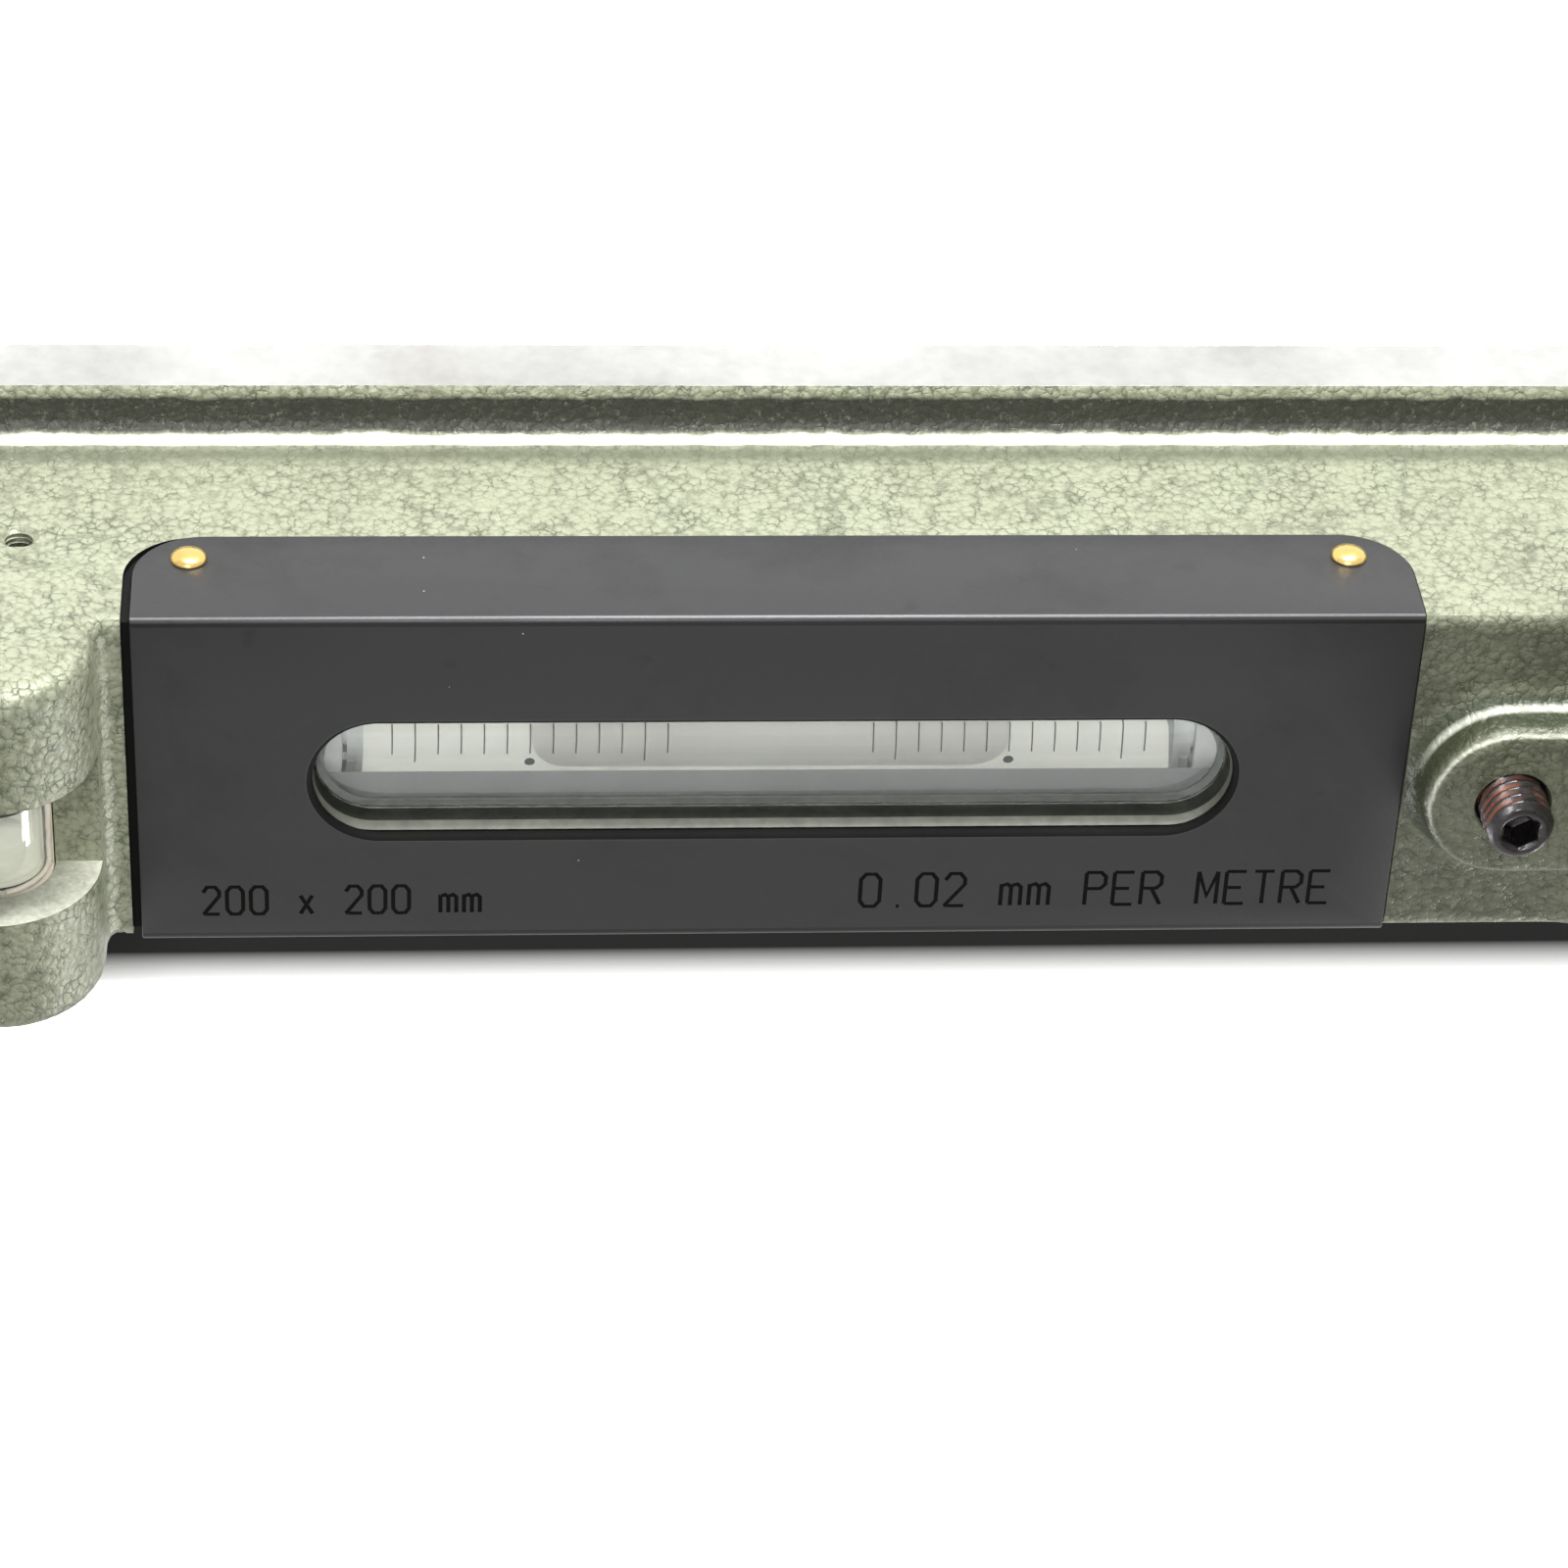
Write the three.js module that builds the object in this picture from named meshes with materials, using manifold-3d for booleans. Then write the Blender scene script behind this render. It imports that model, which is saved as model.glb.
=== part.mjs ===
// Precision square level: a square cast frame whose four outer faces are ground as working faces.
// The lower bar holds the long main vial under a folded sheet cover, and a short cross vial in a boss.
// Millimetres. X runs along the lower bar, Y across the frame's depth and Z up. The origin is at the
// middle of the base, and the level stands on its base as it does in use.
import * as THREE from "three";
import { mergeVertices } from "three/addons/utils/BufferGeometryUtils.js";
import Module from "manifold-3d";

const wasm = await Module();
wasm.setup();

// Clearances that pieces share
const seatGap = 0.1;
const fitGap = 0.2;
const overrun = 2;

// Frame casting
const frameSide = 200;
const frameDepth = 44;
const rimThickness = 7.6;
const rimEdgeRadius = 0.9;
const rimCornerRadius = 3;
const frameCornerRadius = 1.6;
const rimFootWidth = 0.9;
const rimFootHeight = 1.7;
const rimOverlap = 3;
const webInset = 5.1;
const webEdgeRadius = 0.9;
const baseBarHeight = 36.8;
const uprightWidth = 22;
const topBarHeight = 24;
const openingCornerRadius = 8;
const frameHalf = frameSide / 2;
const rimHalfDepth = frameDepth / 2;
const webHalf = rimHalfDepth - webInset;

// Grooves in the working faces
const veeWidth = 18;
const veeDepth = 5.2;
const reliefWidth = 14;
const reliefDepth = 1;

// Cover, one folded sheet over the middle of the lower bar
const coverEndInset = 44.55;
const coverProud = 0.3;
const coverRise = 0.2;
const coverSheet = 0.8;
const coverFlapDepth = 12.7;
const coverFlapCornerRadius = 6;
const coverFoldRadius = 0.6;
const coverEndGapWide = 0.8;
const coverEndGapNarrow = 0.15;
const coverHalfLength = frameHalf - coverEndInset;
const coverHalfWidth = webHalf + coverProud;
const coverTopHeight = baseBarHeight + coverRise;
const coverFlapLow = coverTopHeight - coverFlapDepth;
const coverUnderside = coverTopHeight - coverSheet;
const coverInside = coverHalfWidth - coverSheet;

// Drive pins that hold the cover
const pinEndInset = 5.05;
const pinBelowFold = 8.8;
const pinHeadRadius = 1.6;
const pinHeadHeight = 0.8;
const pinShankRadius = 0.85;
const pinShankLength = 5.6;
const pinX = coverHalfLength - pinEndInset;
const pinHeight = coverTopHeight - pinBelowFold;

// Slot in the casting with its window pane, and the lipped window of the cover above it
const slotEndInset = 15.25;
const slotWidth = 10.4;
const slotChamfer = 0.6;
const windowEndRoom = 0.1;
const windowSideRoom = 0.7;
const windowLip = 0.5;
const paneThickness = 0.9;
const paneTopBelowCover = 2.9;
const sealThickness = 0.35;
const sealWidth = 0.75;
const slotLength = 2 * (coverHalfLength - slotEndInset);
const windowLength = slotLength + 2 * windowEndRoom;
const windowWidth = slotWidth + 2 * windowSideRoom;
const paneTop = coverTopHeight - paneTopBelowCover;
const paneUnderside = paneTop - paneThickness;
const sealTop = paneUnderside - seatGap;
const sealUnderside = sealTop - sealThickness;
const paneSeatHeight = sealUnderside - seatGap;

// Main vial
const vialRadius = 6.5;
const vialWall = 1.2;
const vialEndInset = 1.7;
const vialEndWall = 3;
const vialEndChamfer = 1.5;
const liquidLevel = 1.8;
const bubbleTravel = 14;
const bubbleEndRoom = 0.5;
const bubbleHalfWidth = 3.2;
const stopperClearance = 0.3;
const vialBedLength = 4.7;
const vialHalfLength = slotLength / 2 - vialEndInset;
const vialChamberRadius = vialRadius - vialWall;
const vialChamberHalfLength = vialHalfLength - vialEndWall;
const bubbleLength = 2 * (vialChamberHalfLength - bubbleTravel - bubbleEndRoom);

// Tube that holds the main vial, with a lug in each end
const vialClearance = 0.3;
const holderWall = 1.7;
const holderWindowReach = 1.2;
const holderWindowDepth = 4.3;
const lugSpigotLength = 5.5;
const bedGap = 1.1;
const adjustLugReach = 7.9;
const adjustSeatDepth = 1.7;
const pivotFlangeLength = 3.7;
const pivotStubRadius = 6;
const pivotStubReach = 4.4;
const holderInnerRadius = vialRadius + vialClearance;
const holderRadius = holderInnerRadius + holderWall;
const holderHalfLength = vialHalfLength + fitGap + vialBedLength + bedGap + lugSpigotLength;
const holderWindowHalfLength = slotLength / 2 + holderWindowReach;
const holderWindowRise = holderRadius - holderWindowDepth;
const spigotRadius = holderInnerRadius - fitGap;
const lugStart = holderHalfLength + seatGap;
const flangeEnd = lugStart + pivotFlangeLength;
const adjustSeatRise = holderRadius - adjustSeatDepth;

// Bore that the holder lies in, closed by a plug at one end
const boreClearance = 0.8;
const boreIntoSlot = 1.15;
const boreEndRoom = 2.2;
const pivotBoreClearance = 1.2;
const plugOverBore = 0.9;
const plugThickness = 6;
const plugInset = 3.5;
const plugSlotWidth = 2;
const plugSlotDepth = 1.6;
const boreRadius = holderRadius + boreClearance;
const vialAxisHeight = paneSeatHeight + boreIntoSlot - boreRadius;
const boreEnd = flangeEnd + boreEndRoom;
const plugRadius = boreRadius + plugOverBore;

// Pivot screws, one from each side
const pivotEndInset = 34.6;
const pivotDrop = 0.7;
const pivotHoleRadius = 1.3;
const pivotScrewRadius = 1.1;
const pivotScrewLength = 8.6;
const pivotDimpleDepth = 1.6;
const pivotPointGap = 0.4;
const pivotSocketRadius = 0.85;
const pivotSocketDepth = 1.5;
const pivotX = frameHalf - pivotEndInset;
const pivotHeight = vialAxisHeight - pivotDrop;
const pivotStubEnd = pivotX + pivotStubReach;
const pivotBoreRadius = pivotStubRadius + pivotBoreClearance;
const pivotBoreEnd = pivotStubEnd + boreEndRoom;

// Raised pad with the adjusting screw, and the lift spring under the lug
const padEndInset = 35.6;
const padRadius = 7.8;
const padRise = 4.6;
const padEdgeRadius = 1.2;
const padReach = 5.5;
const adjustScrewRadius = 3;
const adjustScrewRise = 4.1;
const adjustTipGap = 0.7;
const adjustScrewChamfer = 0.6;
const adjustSocketAcrossFlats = 3;
const adjustSocketDepth = 3.2;
const springRadius = 2.9;
const springBoreRadius = 2.1;
const springPocketDepth = 5.7;
const springTopGap = 0.8;
const padX = padEndInset - frameHalf;
const padTopHeight = baseBarHeight + padRise;
const adjustScrewTop = padTopHeight + adjustScrewRise;
const adjustScrewLength = adjustScrewTop - vialAxisHeight - adjustSeatRise - adjustTipGap;
const springFloor = vialAxisHeight - boreRadius - springPocketDepth;
const springFoot = springFloor + seatGap;
const springHeight = vialAxisHeight - holderRadius - springTopGap - springFoot;

// Cross vial in its boss
const bossEndInset = 32.6;
const bossRise = 3.4;
const bossWall = 4;
const bossEndHeight = 0.5;
const bossEdgeRadius = 1.2;
const bossReach = 5.5;
const notchFrontWall = 11.2;
const notchBackWall = 10.9;
const notchFloorDrop = 0.2;
const crossVialRadius = 4.3;
const crossVialWall = 0.9;
const crossVialFrontInset = 7.9;
const crossVialBackInset = 3.9;
const crossEndWall = 1.6;
const crossBoreClearance = 0.7;
const crossBoreEndRoom = 0.5;
const crossCementInnerGap = 0.15;
const crossCementOuterGap = 0.12;
const crossLiquidLevel = 0.9;
const crossBubbleLength = 7.2;
const crossBubbleHalfWidth = 2.4;
const crossStopperLength = 2;
const crossPlugThickness = 2;
const bossX = frameHalf - bossEndInset;
const bossAxisHeight = baseBarHeight + bossRise;
const crossBoreRadius = crossVialRadius + crossBoreClearance;
const bossRadius = crossBoreRadius + bossWall;
const notchFront = notchFrontWall - webHalf;
const notchBack = webHalf - notchBackWall;
const crossVialFront = crossVialFrontInset - webHalf;
const crossVialBack = webHalf - crossVialBackInset;
const crossVialLength = crossVialBack - crossVialFront;
const crossBoreFront = crossVialFront - crossBoreEndRoom;
const crossChamberRadius = crossVialRadius - crossVialWall;
const crossChamberEnds = [crossVialFront + crossEndWall, crossVialBack - crossStopperLength];
const crossBubbleY = (crossChamberEnds[0] + crossChamberEnds[1]) / 2;
const crossCementInner = crossVialRadius + crossCementInnerGap;
const crossCementOuter = crossBoreRadius - crossCementOuterGap;

// Heat-insulating grips on the uprights
const gripSideMargin = 1.1;
const gripEndMargin = 23.6;
const gripThickness = 4.4;
const gripCornerRadius = 3;
const gripEdgeRadius = 1.2;
const gripScrewInset = 13;
const gripHeadRadius = 3.4;
const gripHeadHeight = 2.2;
const gripHeadChamfer = 0.7;
const gripHeadInset = 0.5;
const gripShankRadius = 1.9;
const gripShankChamfer = 0.9;
const gripScrewLength = 12;
const gripSlotWidth = 0.9;
const gripSlotDepth = 0.9;
const gripWidth = uprightWidth - rimThickness - 2 * gripSideMargin;
const gripX = frameHalf - rimThickness - gripSideMargin - gripWidth / 2;
const gripLength = frameSide - topBarHeight - baseBarHeight - 2 * gripEndMargin;
const gripHeight = baseBarHeight + gripEndMargin + gripLength / 2;
const gripScrewReach = gripLength / 2 - gripScrewInset;
const gripFoot = webHalf + seatGap;

// Sides of round shapes
const largeSides = 36;
const middleSides = 24;
const smallSides = 12;
const arcSteps = 3;
const domeSteps = 4;
const roundSteps = 2;

const finishes = {
  paint: { color: 0x8d9478, roughness: 0.45, metalness: 0.15 },
  cover: { color: 0x2a2a2c, roughness: 0.5, metalness: 0.3 },
  brass: { color: 0xc9a24a, roughness: 0.25, metalness: 1 },
  blackSteel: { color: 0x3a3634, roughness: 0.45, metalness: 0.8 },
  brightSteel: { color: 0xa9abad, roughness: 0.35, metalness: 1 },
  holder: { color: 0x8c8e90, roughness: 0.4, metalness: 0.9 },
  glass: { color: 0xe6ece8, roughness: 0.05, metalness: 0 },
  liquid: { color: 0xd9dccb, roughness: 0.1, metalness: 0 },
  bubble: { color: 0xf4f6ee, roughness: 0.05, metalness: 0 },
  cement: { color: 0xe9dfc6, roughness: 0.9, metalness: 0 },
  putty: { color: 0x30322c, roughness: 0.8, metalness: 0 },
  phenolic: { color: 0x171718, roughness: 0.4, metalness: 0 },
};

// Closed geometry as a solid that can be joined and cut
function solidOf(geometry) {
  geometry.deleteAttribute("normal");
  geometry.deleteAttribute("uv");
  const merged = mergeVertices(geometry);
  const corners = merged.index.array;
  const triangles = [];
  for (let first = 0; first < corners.length; first += 3) {
    const [a, b, c] = corners.slice(first, first + 3);
    if (a !== b && b !== c && c !== a) triangles.push(a, b, c);
  }
  const mesh = new wasm.Mesh({
    numProp: 3,
    vertProperties: new Float32Array(merged.attributes.position.array),
    triVerts: new Uint32Array(triangles),
  });
  return new wasm.Manifold(mesh);
}

// The solid's triangles as a geometry again
function geometryOf(solid) {
  const mesh = solid.getMesh();
  const geometry = new THREE.BufferGeometry();
  geometry.setAttribute("position", new THREE.BufferAttribute(mesh.vertProperties, 3));
  geometry.setIndex(new THREE.BufferAttribute(mesh.triVerts, 1));
  geometry.computeVertexNormals();
  return geometry;
}

function join(geometries) {
  return geometries.map(solidOf).reduce((body, next) => body.add(next));
}

function cut(body, geometries) {
  return geometries.map(solidOf).reduce((rest, tool) => rest.subtract(tool), body);
}

function block(x, y, z) {
  const geometry = new THREE.BoxGeometry(x[1] - x[0], y[1] - y[0], z[1] - z[0]);
  return geometry.translate((x[0] + x[1]) / 2, (y[0] + y[1]) / 2, (z[0] + z[1]) / 2);
}

// Round rods between two places along an axis
function rodAlongX(radius, x, y, z, sides = largeSides) {
  const geometry = new THREE.CylinderGeometry(radius, radius, x[1] - x[0], sides);
  return geometry.rotateZ(-Math.PI / 2).translate((x[0] + x[1]) / 2, y, z);
}

function rodAlongY(radius, x, y, z, sides = middleSides) {
  const geometry = new THREE.CylinderGeometry(radius, radius, y[1] - y[0], sides);
  return geometry.translate(x, (y[0] + y[1]) / 2, z);
}

function rodAlongZ(radius, x, y, z, sides = middleSides) {
  const geometry = new THREE.CylinderGeometry(radius, radius, z[1] - z[0], sides);
  return geometry.rotateX(Math.PI / 2).translate(x, y, (z[0] + z[1]) / 2);
}

// A turned piece about its own Z axis, from [radius, height] points
function turned(profile, sides = middleSides) {
  const points = profile.map(([radius, height]) => new THREE.Vector2(radius, height));
  return new THREE.LatheGeometry(points, sides).rotateX(Math.PI / 2);
}

// A slot outline with round ends
function stadium(length, width) {
  const radius = width / 2;
  const reach = length / 2 - radius;
  const shape = new THREE.Shape();
  shape.absarc(reach, 0, radius, -Math.PI / 2, 0, false);
  shape.absarc(reach, 0, radius, 0, Math.PI / 2, false);
  shape.absarc(-reach, 0, radius, Math.PI / 2, Math.PI, false);
  shape.absarc(-reach, 0, radius, Math.PI, (3 * Math.PI) / 2, false);
  shape.closePath();
  return shape;
}

function roundedRectangle(x, y, radius, outline = new THREE.Shape()) {
  outline.absarc(x[1] - radius, y[0] + radius, radius, -Math.PI / 2, 0, false);
  outline.absarc(x[1] - radius, y[1] - radius, radius, 0, Math.PI / 2, false);
  outline.absarc(x[0] + radius, y[1] - radius, radius, Math.PI / 2, Math.PI, false);
  outline.absarc(x[0] + radius, y[0] + radius, radius, Math.PI, (3 * Math.PI) / 2, false);
  outline.closePath();
  return outline;
}

// A plate whose two lower corners are round
function apron(x, low, high, radius) {
  const shape = new THREE.Shape();
  shape.moveTo(x[1], high);
  shape.lineTo(x[0], high);
  shape.absarc(x[0] + radius, low + radius, radius, Math.PI, (3 * Math.PI) / 2, false);
  shape.absarc(x[1] - radius, low + radius, radius, -Math.PI / 2, 0, false);
  shape.closePath();
  return shape;
}

function extrusion(shape, depth, round, roundDepth = round) {
  return new THREE.ExtrudeGeometry(shape, {
    depth: depth - 2 * roundDepth,
    bevelEnabled: round > 0,
    bevelSize: round,
    bevelThickness: roundDepth,
    bevelOffset: -round,
    bevelSegments: roundSteps,
    curveSegments: arcSteps,
  }).translate(0, 0, roundDepth);
}

// An outline in X and Z, as thick as halfThickness on both sides of Y = 0
function slabAcross(shape, halfThickness, round = 0, roundDepth = round) {
  const geometry = extrusion(shape, 2 * halfThickness, round, roundDepth);
  return geometry.rotateX(Math.PI / 2).translate(0, halfThickness, 0);
}

// An outline in X and Y that stands between two heights
function slabUpright(shape, z, round = 0) {
  return extrusion(shape, z[1] - z[0], round).translate(0, 0, z[0]);
}

// An outline in Y and Z that runs between two places along X
function barAlongX(shape, x) {
  const turn = new THREE.Matrix4().makeBasis(
    new THREE.Vector3(0, 1, 0),
    new THREE.Vector3(0, 0, 1),
    new THREE.Vector3(1, 0, 0),
  );
  return extrusion(shape, x[1] - x[0], 0).applyMatrix4(turn).translate(x[0], 0, 0);
}

function triangle(a, b, c) {
  return new THREE.Shape([a, b, c].map(([x, y]) => new THREE.Vector2(x, y)));
}

function both(make) {
  return [-1, 1].map(make);
}

const level = new THREE.Group();

function addPiece(group, name, solid, finish, place = [0, 0, 0]) {
  const mesh = new THREE.Mesh(geometryOf(solid), new THREE.MeshStandardMaterial(finishes[finish]));
  mesh.name = name;
  mesh.position.set(...place);
  group.add(mesh);
  return mesh;
}

// Frame: rims round the outside, a thinner web inside them and the square opening
function frameBlank() {
  const rimShape = roundedRectangle(
    [-frameHalf, frameHalf],
    [0, frameSide],
    frameCornerRadius,
  );
  const rimInside = [-frameHalf + rimThickness, frameHalf - rimThickness];
  const rimInsideHeights = [rimThickness, frameSide - rimThickness];
  rimShape.holes.push(roundedRectangle(rimInside, rimInsideHeights, rimCornerRadius, new THREE.Path()));

  const footInside = [rimInside[0] + rimFootWidth, rimInside[1] - rimFootWidth];
  const footHeights = [rimInsideHeights[0] + rimFootWidth, rimInsideHeights[1] - rimFootWidth];
  const buried = [-frameHalf + rimOverlap, frameHalf - rimOverlap];
  const buriedHeights = [rimOverlap, frameSide - rimOverlap];
  const footShape = roundedRectangle(buried, buriedHeights, frameCornerRadius);
  footShape.holes.push(roundedRectangle(footInside, footHeights, rimCornerRadius, new THREE.Path()));

  const webShape = roundedRectangle(buried, buriedHeights, frameCornerRadius);
  const opening = [-frameHalf + uprightWidth, frameHalf - uprightWidth];
  const openingHeights = [baseBarHeight, frameSide - topBarHeight];
  webShape.holes.push(roundedRectangle(opening, openingHeights, openingCornerRadius, new THREE.Path()));

  return join([
    slabAcross(rimShape, rimHalfDepth, rimEdgeRadius),
    slabAcross(footShape, webHalf + rimFootHeight, rimFootWidth, rimFootHeight),
    slabAcross(webShape, webHalf, webEdgeRadius),
    ...bossAndPad(opening),
  ]);
}

// Boss for the cross vial at one end of the lower bar and pad for the adjusting screw at the other
function bossAndPad(opening) {
  const bossLow = baseBarHeight - rimThickness;
  const bossInUpright = opening[1] + bossReach;
  const bossShape = new THREE.Shape();
  bossShape.absarc(bossX, bossAxisHeight, bossRadius, 0, Math.PI / 2, false);
  bossShape.absarc(bossX, bossAxisHeight, bossRadius, Math.PI / 2, Math.PI, false);
  bossShape.lineTo(bossX - bossRadius, bossLow);
  bossShape.lineTo(bossX + bossRadius, bossLow);
  bossShape.closePath();
  const bossRoot = block([bossX, bossInUpright], [-webHalf, webHalf], [bossLow, bossAxisHeight]);

  const padEnd = opening[0] - padReach;
  const padShape = new THREE.Shape();
  padShape.moveTo(padEnd, -padRadius);
  padShape.lineTo(padX, -padRadius);
  padShape.absarc(padX, 0, padRadius, -Math.PI / 2, 0, false);
  padShape.absarc(padX, 0, padRadius, 0, Math.PI / 2, false);
  padShape.lineTo(padEnd, padRadius);
  padShape.closePath();
  const padFoot = baseBarHeight - rimThickness;

  return [
    bossRoot,
    slabAcross(bossShape, webHalf + bossEndHeight, bossEdgeRadius),
    slabUpright(padShape, [padFoot, padTopHeight], padEdgeRadius),
  ];
}

// Vee grooves in the base and one upright, shallow relief channels in the other two faces
function workingFaceGrooves() {
  const spread = (veeWidth / 2) * (1 + overrun / veeDepth);
  const baseVee = triangle([-spread, -overrun], [spread, -overrun], [0, veeDepth]);
  const sideVee = triangle(
    [frameHalf + overrun, -spread],
    [frameHalf + overrun, spread],
    [frameHalf - veeDepth, 0],
  );
  const across = [-reliefWidth / 2, reliefWidth / 2];
  return [
    barAlongX(baseVee, [-frameHalf - overrun, frameHalf + overrun]),
    slabUpright(sideVee, [-overrun, frameSide + overrun]),
    block(
      [-frameHalf - overrun, frameHalf + overrun],
      across,
      [frameSide - reliefDepth, frameSide + overrun],
    ),
    block([-frameHalf - overrun, -frameHalf + reliefDepth], across, [-overrun, frameSide + overrun]),
  ];
}

// The milled seat of the cover on the top and both sides of the lower bar
function coverSeat() {
  const along = [-coverHalfLength - coverEndGapNarrow, coverHalfLength + coverEndGapWide];
  const low = coverFlapLow - fitGap;
  const outline = apron(along, low, coverTopHeight + overrun, coverFlapCornerRadius);
  const inside = coverInside - seatGap;
  const core = block(
    [along[0] - overrun, along[1] + overrun],
    [-inside, inside],
    [0, coverUnderside - seatGap],
  );
  return cut(solidOf(slabAcross(outline, coverHalfWidth + overrun)), [core]);
}

function frameCuts() {
  const slot = stadium(slotLength, slotWidth);
  const chamferedSlot = stadium(slotLength + 2 * slotChamfer, slotWidth + 2 * slotChamfer);
  const seat = coverUnderside - seatGap;
  const plugSeat = -frameHalf + plugInset + plugThickness + seatGap;
  const gripHoleDepth = gripFoot + gripThickness - gripHeadInset - gripScrewLength - fitGap;
  const notchFloor = bossAxisHeight - notchFloorDrop;
  return [
    ...workingFaceGrooves(),
    slabUpright(slot, [paneSeatHeight, coverTopHeight + overrun]),
    slabUpright(chamferedSlot, [seat - slotChamfer, seat + overrun], slotChamfer),
    rodAlongX(boreRadius, [-frameHalf - overrun, boreEnd], 0, vialAxisHeight),
    rodAlongX(pivotBoreRadius, [boreEnd - overrun, pivotBoreEnd], 0, vialAxisHeight),
    rodAlongX(plugRadius + fitGap, [-frameHalf - overrun, plugSeat], 0, vialAxisHeight),
    rodAlongY(pivotHoleRadius, pivotX, [-webHalf - overrun, webHalf + overrun], pivotHeight, smallSides),
    rodAlongZ(adjustScrewRadius + fitGap, padX, 0, [vialAxisHeight, padTopHeight + overrun]),
    rodAlongZ(springRadius + fitGap, padX, 0, [springFloor, vialAxisHeight], smallSides),
    rodAlongY(crossBoreRadius, bossX, [crossBoreFront, webHalf + overrun], bossAxisHeight),
    block(
      [bossX - bossRadius - overrun, bossX + bossRadius + overrun],
      [notchFront, notchBack],
      [notchFloor, bossAxisHeight + bossRadius + overrun],
    ),
    ...both((sideX) =>
      rodAlongY(
        pinShankRadius + fitGap,
        sideX * pinX,
        [-webHalf - overrun, -coverHalfWidth + pinShankLength + fitGap],
        pinHeight,
        smallSides,
      ),
    ),
    ...both((sideX) =>
      rodAlongY(
        pinShankRadius + fitGap,
        sideX * pinX,
        [coverHalfWidth - pinShankLength - fitGap, webHalf + overrun],
        pinHeight,
        smallSides,
      ),
    ),
    ...gripScrewPlaces().map(([x, sideY, z]) => {
      const ends = [sideY * gripHoleDepth, sideY * (webHalf + overrun)];
      ends.sort((a, b) => a - b);
      return rodAlongY(gripShankRadius + fitGap, x, ends, z, smallSides);
    }),
  ];
}

function gripScrewPlaces() {
  return both((sideX) => both((sideY) => both((sideZ) => [
    sideX * gripX,
    sideY,
    gripHeight + sideZ * gripScrewReach,
  ]))).flat(2);
}

function addFrame() {
  const casting = cut(frameBlank().subtract(coverSeat()), frameCuts());
  addPiece(level, "frame_casting", casting, "paint");

  const plugStart = -frameHalf + plugInset;
  const plugBody = rodAlongX(plugRadius, [plugStart, plugStart + plugThickness], 0, vialAxisHeight);
  const plugSlot = block(
    [plugStart - overrun, plugStart + plugSlotDepth],
    [-plugSlotWidth / 2, plugSlotWidth / 2],
    [vialAxisHeight - plugRadius - overrun, vialAxisHeight + plugRadius + overrun],
  );
  addPiece(level, "bore_plug", cut(solidOf(plugBody), [plugSlot]), "blackSteel");
}

// Cover: a channel of sheet with a lipped window, held by four domed pins
function channelSection() {
  const shape = new THREE.Shape();
  const half = coverHalfWidth;
  const fold = coverFoldRadius;
  shape.moveTo(-half, coverFlapLow);
  shape.lineTo(-coverInside, coverFlapLow);
  shape.lineTo(-coverInside, coverUnderside);
  shape.lineTo(coverInside, coverUnderside);
  shape.lineTo(coverInside, coverFlapLow);
  shape.lineTo(half, coverFlapLow);
  shape.absarc(half - fold, coverTopHeight - fold, fold, 0, Math.PI / 2, false);
  shape.absarc(-half + fold, coverTopHeight - fold, fold, Math.PI / 2, Math.PI, false);
  shape.closePath();
  return shape;
}

function addCover() {
  const cover = new THREE.Group();
  level.add(cover);
  const ends = [-coverHalfLength, coverHalfLength];
  const outline = apron(ends, coverFlapLow, coverTopHeight + overrun, coverFlapCornerRadius);
  const folded = solidOf(barAlongX(channelSection(), ends))
    .intersect(solidOf(slabAcross(outline, coverHalfWidth + overrun)));
  const lipped = stadium(windowLength + 2 * windowLip, windowWidth + 2 * windowLip);
  const sheet = cut(folded, [
    slabUpright(stadium(windowLength, windowWidth), [coverUnderside - overrun, coverTopHeight + overrun]),
    slabUpright(lipped, [coverTopHeight - windowLip, coverTopHeight + overrun], windowLip),
    ...both((sideX) => rodAlongY(
      pinShankRadius + fitGap,
      sideX * pinX,
      [-coverHalfWidth - overrun, coverHalfWidth + overrun],
      pinHeight,
      smallSides,
    )),
  ]);
  addPiece(cover, "vial_cover", sheet, "cover");
  addPins(cover);
  addPane(cover);
}

function addPins(group) {
  const profile = [
    [0, -pinShankLength],
    [pinShankRadius, -pinShankLength + pinShankRadius],
    [pinShankRadius, seatGap],
    [pinHeadRadius, seatGap],
  ];
  for (let step = 1; step < domeSteps; step += 1) {
    const turn = ((Math.PI / 2) * step) / domeSteps;
    profile.push([pinHeadRadius * Math.cos(turn), seatGap + pinHeadHeight * Math.sin(turn)]);
  }
  profile.push([0, seatGap + pinHeadHeight]);
  const names = { "-1": { "-1": "front_left", 1: "front_right" }, 1: { "-1": "back_left", 1: "back_right" } };
  for (const sideY of [-1, 1]) {
    for (const sideX of [-1, 1]) {
      const place = [sideX * pinX, sideY * coverHalfWidth, pinHeight];
      const name = `cover_pin_${names[sideY][sideX]}`;
      const pin = addPiece(group, name, solidOf(turned(profile, smallSides)), "brass", place);
      pin.rotation.x = (-sideY * Math.PI) / 2;
    }
  }
}

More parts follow.
